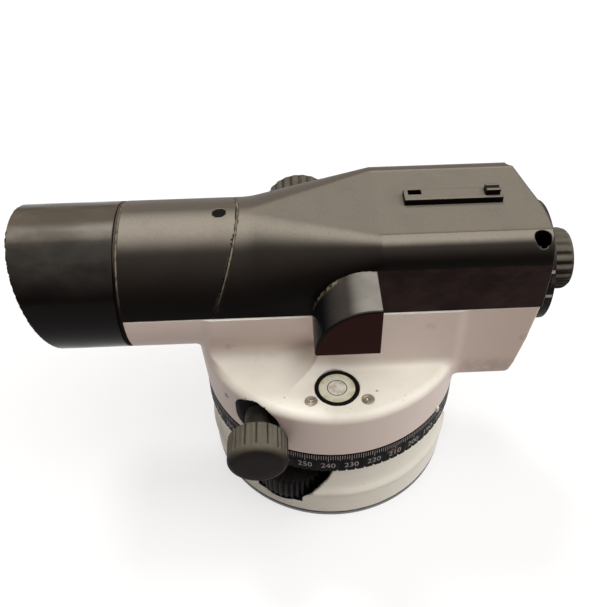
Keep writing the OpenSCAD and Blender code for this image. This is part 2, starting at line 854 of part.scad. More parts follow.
module lower_body() {
    color("ivory")
    difference() {
        union() {
            lower_body_shell();
            intersection() {
                recess_shell(0);
                drum_outer();
            }
            translate([0, 0, upper_bearing_z])
                cylinder(r = nut_pocket_r + nut_pocket_wall, h = drum_roof_z - upper_bearing_z + over);
            posts(post_r, floor_z + floor_t, drum_roof_z - floor_z);
            for (s = [-1, 1]) translate([screw_x, s * screw_y, screw_post_z])
                cylinder(r = screw_post_r, h = split_z - screw_post_z);
        }
        above(split_z);
        recess_space();
        translate([0, 0, upper_bearing_z - over])
            cylinder(r = bearing_r, h = nut_pocket_top - upper_bearing_z);
        translate([0, 0, upper_bearing_top])
            cylinder(r = nut_pocket_r, h = nut_pocket_top - upper_bearing_top);
        posts(post_screw_r + fit_gap, floor_z - over, post_screw_h + 2 * over);
        for (s = [-1, 1]) {
            translate([screw_x, s * screw_y, screw_post_z + over])
                cylinder(r = cover_screw_r + fit_gap, h = split_z - screw_post_z);
            along_y(worm_x, s > 0 ? recess_y - 2 * worm_bush_in : -recess_y - over, worm_z)
                cylinder(r = worm_bush_r + fit_gap, h = 2 * worm_bush_in + over);
        }
        along_x(spigot_hole_x) cylinder(r = eye_spigot_r + fit_gap, h = rear_x - spigot_hole_x + over);
        focus_bush_hole();
        translate([bubble_x, bubble_y, drum_roof_z - over]) cylinder(r = bubble_r + fit_gap, h = 3 * wall);
        at_housing_screws(drum_roof_z) {
            translate([0, 0, -over]) cylinder(r = housing_screw_r + fit_gap, h = 3 * wall);
            translate([0, 0, wall - housing_head_z]) cylinder(r = housing_head_r + fit_gap, h = 3 * wall);
        }
        rotate([0, 0, index_az]) translate([drum_r - over, -index_w / 2 - fit_gap, drum_z - over])
            cube([drum_edge_r, index_w + 2 * fit_gap, index_h + over]);
        rotate([0, 0, vent_az]) translate([drum_in_r - over, 0, vent_z]) rotate([0, 90, 0])
            cylinder(r = vent_r, h = 3 * wall);
    }
}

module drum_floor() {
    color("gray")
    difference() {
        union() {
            translate([0, 0, floor_z]) cylinder(r = floor_r, h = floor_t);
            translate([0, 0, floor_z]) cylinder(r = bearing_hub_r, h = bearing_top - floor_z);
        }
        translate([0, 0, floor_z - over]) cylinder(r = bearing_r, h = bearing_top - floor_z + 2 * over);
        recess_shell(move_gap);
        posts(post_screw_r + fit_gap, floor_z - over, floor_t + 2 * over);
    }
}

module drum_floor_screws() {
    color("silver") {
        posts(post_screw_r, floor_z - sink, post_screw_h);
        posts(post_head_r, floor_z - floor_t, floor_t);
    }
}

module at_front_screw(z) {
    translate([front_screw_x, 0, axis_z + z]) children();
}

module front_cover() {
    color([0.16, 0.15, 0.15])
    difference() {
        along_x(tube_front) tube(tube_r, tube_in, tube_r - tube_front);
        below(cover_z);
        behind_seam(0);
        at_front_screw(0) cylinder(r = front_screw_r + fit_gap, h = 2 * tube_r);
        at_front_screw(tube_r - front_screw_depth) cylinder(r = cover_head_r + fit_gap, h = tube_r);
    }
}

// Round above, square below: the section of the front tube and of the cover's front
module round_section(r) {
    circle(r = r, $fn = 96);
}

// Flat top with rounded edges: the section of the cover's rear
module box_section(half, top, r) {
    skirt = wall;
    translate([-half, -skirt]) square([2 * half, top - r + skirt]);
    translate([-half + r, -skirt]) square([2 * (half - r), top + skirt]);
    for (s = [-1, 1]) translate([s * (half - r), top - r]) circle(r = r, $fn = 48);
}

// Stands a section upright, x to the right of the view and y up, at x along the telescope
module section_at(x, length) {
    translate([x, 0, axis_z]) rotate([90, 0, 90]) linear_extrude(length) children();
}

module cover_solid(inset) {
    r = tube_r - inset;
    top = top_z - axis_z - inset;
    edge = edge_r - inset;
    section_at(tube_front, loft_front - tube_front) round_section(r);
    hull() {
        section_at(loft_front, thin) intersection() {
            round_section(r);
            translate([-r, 0]) square([2 * r, r]);
        }
        section_at(loft_rear - thin, thin) intersection() {
            box_section(r, top, edge);
            translate([-r, 0]) square([2 * r, top]);
        }
    }
    section_at(loft_rear - thin, rear_x - loft_rear - (inset > 0 ? wall : 0)) box_section(r, top, edge);
}

module top_cover() {
    color([0.16, 0.15, 0.15])
    difference() {
        union() {
            difference() {
                cover_solid(0);
                cover_solid(wall);
            }
            for (s = [-1, 1]) translate([screw_x, s * screw_y, cover_z])
                cylinder(r = screw_post_r, h = screw_seat_z - cover_z + sink);
        }
        below(cover_z);
        difference() {
            translate([-big, -big / 2, -big / 2]) cube([big, big, big]);
            behind_seam(seam_gap);
        }
        for (s = [-1, 1]) translate([screw_x, s * screw_y, 0]) {
            translate([0, 0, screw_seat_z]) cylinder(r = counterbore_r, h = top_z);
            translate([0, 0, cover_z - over]) cylinder(r = cover_screw_r + fit_gap, h = top_z);
        }
        along_x(spigot_hole_x) cylinder(r = eye_spigot_r + fit_gap, h = rear_x - spigot_hole_x + over);
        focus_bush_hole();
        translate([panel_x - fit_gap, -tube_r - over, cover_z - over])
            cube([big, panel_t + over, panel_top - cover_z + over + fit_gap]);
    }
}

module cover_screws() {
    shank_z = split_z - post_screw_h;
    color([0.1, 0.1, 0.1]) {
        for (s = [-1, 1]) translate([screw_x, s * screw_y, 0]) {
            translate([0, 0, screw_seat_z]) cylinder(r = cover_head_r, h = cover_head_h);
            translate([0, 0, shank_z]) cylinder(r = cover_screw_r, h = screw_seat_z - shank_z + sink);
        }
        at_front_screw(tube_r - front_screw_depth) cylinder(r = cover_head_r, h = front_head_h);
        at_front_screw(tube_in - front_screw_depth) cylinder(r = front_screw_r, h = wall);
    }
}

module side_panel() {
    color([0.2, 0.13, 0.13])
    translate([panel_x, -tube_r, cover_z]) cube([rear_x - panel_x, panel_t - fit_gap, panel_top - cover_z]);
}

// A block of the sight rail, centred across the telescope, from x along the rail
module rail_block(x, length, width, height) {
    translate([rail_x + x, -width / 2, top_z]) cube([length, width, height]);
}

module sight_rail() {
    color("black")
    difference() {
        union() {
            rail_block(0, rail_l, rail_w, rail_foot);
            rail_block(0, rail_w, rail_w, rail_h);
            rail_block(notch_x, rail_l - 2 * notch_x, rail_neck_w, rail_h);
            rail_block(rear_sight_x, rear_sight_l, rail_w, rear_sight_h);
        }
        translate([rail_x + notch_x, -rail_neck_w / 2, top_z + over])
            cube([notch_l, rail_neck_w, rear_sight_h]);
        translate([rail_x + rear_sight_x - over, -rear_notch_w / 2, top_z + rear_sight_h - over])
            cube([rear_sight_l + 2 * over, rear_notch_w, rear_sight_h]);
    }
}

module index_mark() {
    color("ivory")
    rotate([0, 0, index_az]) translate([drum_r - over, -index_w / 2, drum_z])
        cube([index_reach + over, index_w, index_h - fit_gap]);
}

module hood() {
    color([0.1, 0.1, 0.12])
    difference() {
        along_x(hood_front - hood_reach) tube(tube_r, tube_in, hood_rear - hood_front + hood_reach);
        translate([hood_front, 0, axis_z + tube_r])
            rotate([0, -hood_lean, 0])
                translate([-big, -big / 2, -big / 2]) cube([big, big, big]);
    }
}

module objective_cell() {
    color([0.12, 0.12, 0.12])
    difference() {
        along_x(cell_front) tube(cell_r, objective_clear, cell_rear - cell_front);
        along_x(crown_front - seat_gap)
            cylinder(r = objective_r + fit_gap, h = flint_rear - crown_front + seat_gap);
        along_x(flint_rear + cell_wall) cylinder(r = cell_r - cell_wall, h = cell_rear - flint_rear);
    }
}

module objective_lenses() {
    color([0.7, 0.85, 0.8, 0.5]) {
        along_x(crown_front) lens(objective_r, crown_t, lens_curve, lens_curve);
        along_x(flint_front) lens(objective_r, flint_rear - flint_front, -lens_curve, flint_rear_curve);
    }
}

module optical_tube() {
    color([0.15, 0.15, 0.15])
    difference() {
        union() {
            along_x(barrel_front) tube(cell_r, cell_r - wall, barrel_rear - barrel_front);
            along_x(barrel_rear - barrel_web) cylinder(r = cell_r - over, h = barrel_web);
            along_x(guide_front) cylinder(r = guide_r, h = guide_rear - guide_front);
        }
        along_x(guide_front - over) cylinder(r = guide_in, h = guide_rear - guide_front + 2 * over);
        at_front_screw(guide_r) cylinder(r = front_screw_r + fit_gap, h = tube_r);
    }
}

module focus_carriage() {
    length = carriage_rear - carriage_front;
    color("darkgoldenrod")
    difference() {
        union() {
            along_x(carriage_front) cylinder(r = carriage_r, h = length);
            translate([bracket_x, bracket_y, rack_base_z])
                cube([bracket_l, rack_y - bracket_y, rack_body_h]);
        }
        along_x(carriage_front - over) cylinder(r = carriage_r - carriage_wall, h = length + 2 * over);
    }
}

module focusing_lens() {
    color([0.7, 0.85, 0.8, 0.5])
    along_x(carriage_front + cell_wall)
        lens(carriage_r - carriage_wall - fit_gap, carriage_lens_t,
            carriage_lens_curve, -carriage_lens_curve);
}

// Rack teeth above the bar, in mesh with the pinion, with play in the flanks
module focus_rack() {
    half = rack_pitch * tooth_half;
    tip = 0.8 * focus_module;
    root = 1.3 * focus_module;
    lean = tan(pressure_angle);
    start = focus_x - rack_pitch * 6;
    rear = start + rack_pitch * rack_teeth;
    teeth = [for (k = [0:rack_teeth - 1]) let (x = start + rack_pitch * (k + 0.5))
        each [[x - half - root * lean, rack_z - root], [x - half + tip * lean, rack_z + tip],
            [x + half - tip * lean, rack_z + tip], [x + half + root * lean, rack_z - root]]];
    color("silver")
    translate([0, rack_y + rack_w, 0]) rotate([90, 0, 0]) linear_extrude(rack_w)
        polygon(concat([[bracket_x, rack_base_z], [bracket_x, rack_z - root]], teeth,
            [[rear, rack_z - root], [rear, rack_base_z]]));
}

function involute(base, a) = let (roll = a * PI / 180)
    [base * (cos(a) + roll * sin(a)), base * (sin(a) - roll * cos(a))];

function turned(p, a) = [p[0] * cos(a) - p[1] * sin(a), p[0] * sin(a) + p[1] * cos(a)];

function roll_to(base, r) = r <= base ? 0 : sqrt(pow(r / base, 2) - 1) * 180 / PI;

// Half of one pinion tooth's outline, from its root up, with play in the flank
function flank(m, teeth) = let (
        pitch = m * teeth / 2,
        base = pitch * cos(pressure_angle),
        tip = pitch + 0.9 * m,
        at_pitch = involute(base, roll_to(base, pitch)),
        lean = atan2(at_pitch[1], at_pitch[0]),
        half = 360 / teeth * tooth_half
    ) concat([polar(pitch - 1.25 * m, -half - 2)],
        [for (i = [0:4]) let (r = base + (tip - base) * i / 4)
            turned(involute(base, roll_to(base, r)), -half - lean)]);

module focus_pinion() {
    pitch = 360 / pinion_teeth;
    side = flank(focus_module, pinion_teeth);
    last = len(side) - 1;
    outline = [for (k = [0:pinion_teeth - 1])
        each concat([for (p = side) turned(p, pitch * k)],
            [for (i = [last:-1:0]) turned([side[i][0], -side[i][1]], pitch * k)])];
    color("silver")
    along_y(focus_x, rack_y + seat_gap, axis_z)
        linear_extrude(rack_w - 2 * seat_gap)
            difference() {
                rotate([0, 0, 90]) polygon(outline);
                circle(r = focus_hex_r + fit_gap, $fn = 6);
            }
}

module focus_shaft() {
    shaft_y = rack_y + rack_w + seat_gap;
    color("silver") {
        along_y(focus_x, rack_y, axis_z) cylinder(r = focus_hex_r, h = rack_w + 2 * seat_gap, $fn = 6);
        along_y(focus_x, shaft_y, axis_z)
            cylinder(r = focus_shaft_r, h = focus_knob_y + knob_bore - shaft_y - seat_gap);
    }
}

module focus_bush() {
    color("darkgoldenrod") {
        along_y(focus_x, focus_bush_y, axis_z)
            tube(focus_bush_r, focus_shaft_r + run_gap, tube_r + bush_flange_t / 2 - focus_bush_y);
        along_y(focus_x, tube_r + fit_gap, axis_z)
            tube(bush_flange_r, focus_shaft_r + run_gap, bush_flange_t);
    }
}

module focus_knob() {
    color([0.2, 0.19, 0.18])
    along_y(focus_x, focus_knob_y, axis_z)
        difference() {
            linear_extrude(focus_knob_h) fluted(focus_knob_r, focus_flutes, flute_depth);
            translate([0, 0, -over]) cylinder(r = focus_shaft_r + fit_gap, h = knob_bore + over);
            translate([0, 0, -over])
                tube(focus_knob_r - knob_hollow + over, focus_bush_r, knob_hollow + over);
        }
}

module compensator_frame() {
    cheek_l = pendulum_rear - pendulum_front + 2 * comp_plate;
    cheek_x = pendulum_front - comp_plate;
    width = 2 * (cheek_y + comp_plate);
    color("silver") {
        translate([comp_front, -width / 2, comp_z]) cube([comp_rear - comp_front, width, comp_plate]);
        for (s = [-1, 1]) translate([cheek_x, s > 0 ? cheek_y : -width / 2, comp_deck])
            cube([cheek_l, comp_plate, comp_roof - comp_deck]);
        translate([cheek_x, -width / 2, pivot_z + move_gap])
            cube([cheek_l, width, comp_roof - pivot_z - move_gap]);
        for (x = [comp_front, comp_rear - comp_foot]) translate([x, -cheek_y, comp_deck])
            cube([comp_foot, 2 * cheek_y, axis_z - prism_half - comp_deck]);
        for (y = [-vane_w / 2 - move_gap - stop_w, vane_w / 2 + move_gap])
            translate([pendulum_middle - stop_l / 2, y, comp_deck]) cube([stop_l, stop_w, stop_h]);
    }
}

module prism_at(x) {
    translate([x, -prism_half, axis_z - prism_half]) cube([prism_half, 2 * prism_half, 2 * prism_half]);
}

module fixed_prisms() {
    color([0.7, 0.85, 0.85, 0.5]) {
        prism_at(comp_front + over);
        prism_at(comp_rear - over - prism_half);
    }
}

module pendulum() {
    frame_z = axis_z - prism_half - pendulum_under;
    frame_y = prism_half + pendulum_wall;
    frame_x = pendulum_front + over;
    frame_l = prism_half + 2 * over;
    seat_y = prism_half + fit_gap;
    color("goldenrod") {
        difference() {
            translate([frame_x, -frame_y, frame_z]) cube([frame_l, 2 * frame_y, pendulum_top - frame_z]);
            translate([frame_x - over, -seat_y, axis_z - prism_half])
                cube([frame_l + 2 * over, 2 * seat_y, 2 * prism_half + fit_gap]);
        }
        for (x = [-tape_x, tape_x], y = [-tape_y, tape_y])
            translate([pendulum_middle + x - tape_w / 2, y - tape_t / 2, pendulum_top - sink])
                cube([tape_w, tape_t, pivot_z - pendulum_top + sink]);
        translate([pendulum_middle - vane_t / 2, -vane_w / 2, frame_z - vane_h])
            cube([vane_t, vane_w, vane_h + sink]);
    }
}

module pendulum_prism() {
    color([0.7, 0.85, 0.85, 0.5]) prism_at(pendulum_front + 2 * over);
}

module eyepiece_flange() {
    color([0.12, 0.12, 0.12])
    difference() {
        union() {
            along_x(flange_front) cylinder(r = flange_r, h = flange_rear - flange_front);
            along_x(spigot_x) cylinder(r = eye_spigot_r, h = flange_rear - spigot_x - over);
        }
        along_x(spigot_x - over) cylinder(r = eye_tube_r + fit_gap, h = flange_rear - spigot_x + 2 * over);
    }
}

module eyepiece_tube() {
    sleeve = eye_front + reticle_l;
    color([0.15, 0.15, 0.15]) {
        along_x(sleeve) tube(eye_tube_r, eye_tube_in, eye_tube_rear - sleeve);
        along_x(eye_front) tube(eye_tube_r, eye_tube_in - reticle_step, reticle_l + sink);
    }
}

module reticle_ring() {
    color("darkgoldenrod")
    along_x(eye_front + over) tube(eye_tube_in - reticle_step - fit_gap, reticle_r, reticle_l / 2);
}

module reticle_glass() {
    color([0.8, 0.9, 0.9, 0.4])
    along_x(eye_front + 1.5 * over) cylinder(r = reticle_r - fit_gap, h = reticle_l / 4);
}

module ocular_cell() {
    color([0.2, 0.2, 0.2])
    along_x(ocular_front) tube(ocular_r, ocular_r - ocular_wall, ocular_rear - ocular_front);
}

module ocular_lenses() {
    color([0.7, 0.85, 0.8, 0.5])
    for (x = [ocular_front + over, ocular_rear - over - ocular_lens_t])
        along_x(x) lens(ocular_r - ocular_wall - fit_gap, ocular_lens_t, ocular_curve, ocular_curve);
}

module eyepiece_ring() {
    color([0.12, 0.12, 0.12])
    difference() {
        along_x(eye_ring_front) linear_extrude(eye_rear - eye_ring_front)
            fluted(eye_ring_r, eye_flutes, flute_depth);
        along_x(eye_ring_front - over)
            cylinder(r = eye_tube_r + run_gap, h = eye_tube_rear + move_gap + over - eye_ring_front);
        along_x(eye_ring_front) cylinder(r = eye_clear, h = tube_r);
        along_x(eye_rear - eye_cup_depth) cylinder(r = eye_cup_r, h = tube_r);
    }
}

module bubble_holder() {
    color("black")
    difference() {
        union() {
            translate([bubble_x, bubble_y, drum_roof_z - bubble_under])
                cylinder(r = bubble_r, h = bubble_under + wall + move_gap);
            intersection() {
                translate([bubble_x, bubble_y, drum_roof_z - bubble_rim_t])
                    cylinder(r = bubble_rim_r, h = bubble_rim_t);
                cylinder(r = drum_in_r - move_gap, h = big);
            }
        }
        translate([bubble_x, bubble_y, drum_roof_z - vial_under])
            cylinder(r = vial_r + fit_gap, h = vial_under + 2 * wall);
        at_housing_screws(drum_roof_z - 2 * bubble_under)
            cylinder(r = housing_screw_r + fit_gap, h = 4 * bubble_under);
    }
}

module bubble_vial() {
    color([0.8, 0.85, 0.6, 0.6])
    translate([bubble_x, bubble_y, drum_roof_z - vial_under]) cylinder(r = vial_r, h = wall + vial_under);
}

module bubble_screws() {
    color("silver")
    at_housing_screws(drum_roof_z) {
        translate([0, 0, -vial_under]) cylinder(r = housing_screw_r, h = vial_under + wall - over);
        translate([0, 0, wall - housing_head_z]) cylinder(r = housing_head_r, h = housing_head_h);
    }
}

// Quarter-round outline of the mirror housing, seen from the side, cut off at a rear end
module mirror_outline(inset, foot, rear) {
    intersection() {
        union() {
            translate([mirror_front + mirror_r, split_z]) circle(r = mirror_r - inset);
            translate([mirror_front + mirror_r, foot]) square([big, split_z - foot + mirror_r - inset]);
            translate([mirror_front + inset, foot]) square([mirror_r, split_z - foot + thin]);
        }
        translate([-big / 2, foot]) square([big / 2 + rear, big]);
    }
}

module mirror_housing() {
    depth = mirror_y - tube_r;
    color([0.08, 0.08, 0.09])
    difference() {
        translate([0, -tube_r - fit_gap, 0]) rotate([90, 0, 0])
            linear_extrude(depth) mirror_outline(0, split_z, mirror_rear);
        translate([0, -tube_r - mirror_wall, 0]) rotate([90, 0, 0])
            linear_extrude(depth - 2 * mirror_wall)
                mirror_outline(mirror_wall, split_z - over, mirror_rear + over);
    }
}

module bubble_mirror() {
    width = mirror_y - tube_r - 2 * (mirror_wall + mirror_play);
    color("lightsteelblue")
    translate([mirror_front + mirror_foot_x, -mirror_y + mirror_wall + mirror_play, split_z + mirror_foot_z])
        rotate([0, -45, 0]) cube([mirror_l, width, mirror_t]);
}

module worm_bushes() {
    length = knob_y - move_gap - recess_y + worm_bush_in;
    color("darkgoldenrod")
    for (s = [-1, 1]) along_y(worm_x, s > 0 ? recess_y - worm_bush_in : move_gap - knob_y, worm_z)
        tube(worm_bush_r, worm_shaft_r + run_gap, length);
}

module worm_shaft() {
    hex_l = (worm_turns + over) * worm_lead;
    shaft_y = hex_l / 2 - sink;
    color("silver") {
        along_y(worm_x, -hex_l / 2, worm_z) cylinder(r = worm_bore - fit_gap, h = hex_l, $fn = 6);
        for (s = [-1, 1]) along_y(worm_x, s > 0 ? shaft_y : -knob_y - knob_seat + sink, worm_z)
            cylinder(r = worm_shaft_r, h = knob_y + knob_seat - sink - shaft_y);
    }
}

// One thread: a round section set off-centre and turned once every lead
module worm() {
    length = worm_turns * worm_lead;
    color("goldenrod")
    along_y(worm_x, -length / 2, worm_z)
        difference() {
            linear_extrude(length, twist = -360 * worm_turns, slices = worm_turns * 16)
                rotate([0, 0, -180 * worm_turns]) translate([-worm_depth, 0]) circle(r = worm_r, $fn = 20);
            translate([0, 0, -over]) linear_extrude(length + 2 * over) circle(r = worm_bore, $fn = 6);
        }
}

module tangent_knob() {
    difference() {
        union() {
            linear_extrude(knob_h - knob_face) fluted(knob_r, knob_flutes, knob_flute_depth);
            cylinder(r = knob_r - knob_flute_depth - 2 * sink, h = knob_h);
        }
        translate([0, 0, -over]) cylinder(r = worm_shaft_r + fit_gap, h = knob_seat + over);
    }
}

module tangent_knobs() {
    color([0.2, 0.19, 0.18]) {
        along_y(worm_x, knob_y, worm_z) tangent_knob();
        translate([worm_x, -knob_y, worm_z]) rotate([90, 0, 0]) tangent_knob();
    }
}

base_plate();
tripod_bush();
hold_down_nut();
disc_spring();
spring_cup();
tribrach();
foot_bushes();
spindle();
spindle_screws();
spindle_nut();
circle_clip();
foot_shoe_1();
foot_shoe_2();
foot_shoe_3();
foot_screw_1();
foot_screw_2();
foot_screw_3();
circle_ring();
wheel_hub();
wheel_rim();
lower_body();
drum_floor();
drum_floor_screws();
front_cover();
top_cover();
cover_screws();
side_panel();
sight_rail();
index_mark();
hood();
objective_cell();
objective_lenses();
optical_tube();
focus_bush();
compensator_frame();
fixed_prisms();
eyepiece_flange();
eyepiece_tube();
reticle_ring();
reticle_glass();
bubble_holder();
bubble_vial();
bubble_screws();
mirror_housing();
bubble_mirror();
worm_bushes();
worm_shaft();
worm();
tangent_knobs();
focus_shaft();
focus_pinion();
focus_knob();
focus_carriage();
focusing_lens();
focus_rack();
eyepiece_ring();
ocular_cell();
ocular_lenses();
pendulum();
pendulum_prism();
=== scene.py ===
# Optical level on a three-screw base: its dressed pieces, their finishes, the light and the camera.
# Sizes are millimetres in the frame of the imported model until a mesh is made.
import json
from math import cos, pi, radians, sin, tau

import bmesh
import bpy
import numpy as np
from mathutils import Matrix, Vector


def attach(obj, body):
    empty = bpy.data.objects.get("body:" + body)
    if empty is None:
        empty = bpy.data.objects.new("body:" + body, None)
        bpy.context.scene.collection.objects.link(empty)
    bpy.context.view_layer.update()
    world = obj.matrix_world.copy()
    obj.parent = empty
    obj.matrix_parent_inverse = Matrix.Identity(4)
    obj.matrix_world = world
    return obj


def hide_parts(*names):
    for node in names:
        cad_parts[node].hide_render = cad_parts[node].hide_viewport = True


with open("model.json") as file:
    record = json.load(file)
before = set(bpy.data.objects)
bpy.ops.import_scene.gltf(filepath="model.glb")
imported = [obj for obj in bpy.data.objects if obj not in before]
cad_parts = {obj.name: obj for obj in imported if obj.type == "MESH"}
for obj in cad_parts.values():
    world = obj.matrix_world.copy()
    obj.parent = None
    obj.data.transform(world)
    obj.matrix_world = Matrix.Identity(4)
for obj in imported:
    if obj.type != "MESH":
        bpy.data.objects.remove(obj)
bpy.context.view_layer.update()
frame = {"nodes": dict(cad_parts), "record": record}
MM = 0.001

# Telescope
AXIS_Z = 94.17
TUBE_R = 27.48
WALL = 2.5
SPLIT_Z = 95.4
TUBE_FRONT = -75.3
HOOD_REAR = -76.8
HOOD_FRONT = -114.1
HOOD_SLOPE = 0.268
SEAM_X = -33.5
SEAM_SLOPE = 0.38
SEAM_GAP = 0.12
COVER_Z = SPLIT_Z + SEAM_GAP
SPIGOT_R = 12.1
SPIGOT_X = 60
FOCUS_X = -10.5
BUSH_HOLE_R = 5.02
EYE_PLATE_R = 22.6
TOP_Z = 124.06
FLAT_HALF = 18.78
EDGE_R = 8.7
LOFT_FRONT = -30
LOFT_REAR = 15.6
FRONT_SCREW_X = -40.2
REAR_SCREW = (70, 22.0)
WELL_R = 2.75
WELL_Z = 112
PANEL_X = 12
PANEL_REAR = 73.9
PANEL_TOP = 115.7

# Lower body
BOX_FRONT = -6
BOX_HALF = 27.45
BOX_Z = 60.1
REAR_HEIGHTS = [60.1, 61.7, 65.4, 78.2, 89.7, 95.4]
REAR_PLACES = [66.4, 68.0, 69.2, 71.6, 73.0, 73.6]
SWEEP_R = 15
DRUM_Z = 44.62
DRUM_TOP_Z = 68.27
DRUM_R = 52
DRUM_IN_R = 50.2
DRUM_TOP_R = 53.4
DRUM_EDGE = 3.6
WORM_X = -29.8
WORM_Z = 53.8
KNOB_Y = 49.6
KNOB_R = 11.3
RECESS_R = 8.2
RECESS_RISE = 4.8
RECESS_Y = 38
VENT_AZ = radians(-142)

# Circular level and its mirror
LEVEL_X = 0.25
LEVEL_Y = -38.5
LEVEL_R = 8.3
VIAL_R = 6.8
LEVEL_SCREWS = [(-9.7, -44.2), (11.1, -44.3)]
MIRROR_FRONT = -8.3
MIRROR_REAR = 14
MIRROR_Y = -46.6
MIRROR_R = 20.1

# Base
CIRCLE_R = 52
CIRCLE_Z = 33.44
CIRCLE_TOP = 44.3
FOOT_R = 36.8
FOOT_AZ = [radians(-117.4 + 120 * k) for k in range(3)]
DISC_R = 15.6
WINDOW_Z = 8
WINDOW_R = 16.3
SKIRT_Z = 2.5
DECK_Z = 33


# Solids as fields: below zero inside, above zero outside

def smooth(value, low, high):
    t = np.clip((value - low) / (high - low), 0, 1)
    return t * t * (3 - 2 * t)


def joined(a, b, r):
    """Two solids as one, with a hollow fillet of radius r between them."""
    return np.maximum(r, np.minimum(a, b)) - np.hypot(np.maximum(r - a, 0), np.maximum(r - b, 0))


def common(a, b, r=0.3):
    """What two solids share, with its new edge rounded to r."""
    return np.minimum(-r, np.maximum(a, b)) + np.hypot(np.maximum(r + a, 0), np.maximum(r + b, 0))


def cut(a, b, r=0.3):
    """The first solid without the second."""
    return common(a, -b, r)


def rod(u, v, r):
    return np.hypot(u, v) - r


def slab(w, low, high):
    return np.abs(w - (low + high) / 2) - (high - low) / 2


def brick(x, y, z, low, high, r=0.25):
    """A block between two corners, with rounded edges."""
    sides = [slab(w, a + r, b - r) for w, a, b in zip((x, y, z), low, high)]
    outside = np.sqrt(sum(np.maximum(s, 0) ** 2 for s in sides))
    return outside + np.minimum(np.maximum.reduce(sides), 0) - r


# Meshes

def lines_between(low, high, step, extra):
    """Grid places along one axis, with a few more beside each place in extra."""
    lines = list(np.linspace(low, high, int(np.ceil((high - low) / step)) + 1))
    for place in extra:
        lines += [place - 0.35, place - 0.12, place + 0.12, place + 0.35]
    lines = np.sort(lines)
    return lines[np.append(True, np.diff(lines) > 0.08)]


def mesh_of(name, points, faces, normals=None):
    mesh = bpy.data.meshes.new(name)
    mesh.vertices.add(len(points))
    mesh.vertices.foreach_set("co", (points * MM).astype(np.float32).ravel())
    mesh.loops.add(faces.size)
    mesh.loops.foreach_set("vertex_index", faces.astype(np.int32).ravel())
    mesh.polygons.add(len(faces))
    mesh.polygons.foreach_set("loop_start", np.arange(0, faces.size, faces.shape[1], dtype=np.int32))
    mesh.update(calc_edges=True)
    mesh.shade_smooth()
    if normals is not None:
        mesh.normals_split_custom_set_from_vertices(normals)
    piece = bpy.data.objects.new(name, mesh)
    bpy.context.collection.objects.link(piece)
    return piece


def slope_of(field, points, h=0.02):
    steps = np.eye(3) * h
    return np.stack([field(*(points + s).T) - field(*(points - s).T) for s in steps], axis=1) / (2 * h)


def skin(name, field, low, high, step, extra=((), (), ())):
    """A smooth mesh round a solid given as a field, inside the box from low to high."""
    lines = [lines_between(low[i], high[i], step, extra[i]) for i in range(3)]
    value = field(*np.meshgrid(*lines, indexing="ij"))
    inside = value < 0
    shape = tuple(n - 1 for n in value.shape)
    corners = [(i, j, k) for i in (0, 1) for j in (0, 1) for k in (0, 1)]
    filled = sum(inside[i:i + shape[0], j:j + shape[1], k:k + shape[2]].astype(np.int8)
                 for i, j, k in corners)
    cells = np.argwhere((filled > 0) & (filled < 8))
    number = np.full(shape, -1)
    number[tuple(cells.T)] = np.arange(len(cells))
    total = np.zeros((len(cells), 3))
    count = np.zeros(len(cells))
    for axis in range(3):
        for corner in (c for c in corners if c[axis] == 0):
            start = cells + corner
            end = start.copy()
            end[:, axis] += 1
            a, b = value[tuple(start.T)], value[tuple(end.T)]
            crossed = (a < 0) != (b < 0)
            place = np.stack([lines[i][start[:, i]] for i in range(3)], axis=1)
            share = np.where(crossed, a / np.where(crossed, a - b, 1), 0)
            place[:, axis] += share * (lines[axis][end[:, axis]] - place[:, axis])
            total += place * crossed[:, None]
            count += crossed
    points = total / count[:, None]
    for _ in range(2):
        slope = slope_of(field, points)
        move = -field(*points.T)[:, None] * slope / np.maximum((slope ** 2).sum(1), 0.2)[:, None]
        points += np.clip(move, -step / 2, step / 2)
    faces = []
    for axis in range(3):
        u, v = (axis + 1) % 3, (axis + 2) % 3
        low_end = np.moveaxis(inside, (axis, u, v), (0, 1, 2))
        grid = np.moveaxis(number, (axis, u, v), (0, 1, 2))
        first, second = low_end[:-1, 1:-1, 1:-1], low_end[1:, 1:-1, 1:-1]
        i, j, k = np.nonzero(first != second)
        quad = np.stack([grid[i, j, k], grid[i, j + 1, k], grid[i, j + 1, k + 1], grid[i, j, k + 1]], axis=1)
        faces.append(np.where(first[i, j, k][:, None], quad, quad[:, ::-1]))
    slope = slope_of(field, points)
    normals = slope / np.maximum(np.linalg.norm(slope, axis=1), 1e-6)[:, None]
    return mesh_of(name, points, np.concatenate(faces), normals)


def eased(corners, steps=4):
    """An outline through (radius, along, easing) corners, each rounded by its easing."""
    outline = []
    for i, corner in enumerate(corners):
        here = np.array(corner[:2], float)
        before = np.array(corners[i - 1][:2]) - here
        after = np.array(corners[(i + 1) % len(corners)][:2]) - here
        spans = np.hypot(*before), np.hypot(*after)
        ease = min(corner[2] if len(corner) > 2 else 0, spans[0] / 2, spans[1] / 2)
        if ease <= 0:
            outline.append(here)
            continue
        for t in np.linspace(0, 1, steps + 1):
            outline.append(here + before / spans[0] * ease * (1 - t) ** 2 + after / spans[1] * ease * t ** 2)
    return np.array(outline)


def upright(x, y, z):
    return lambda u, v, w: (x + u, y + v, z + w)


def along_x(x):
    return lambda u, v, w: (x + w, u, AXIS_Z + v)


def along_y(x, y, z, side):
    return lambda u, v, w: (x + u, y + side * w, z + v)


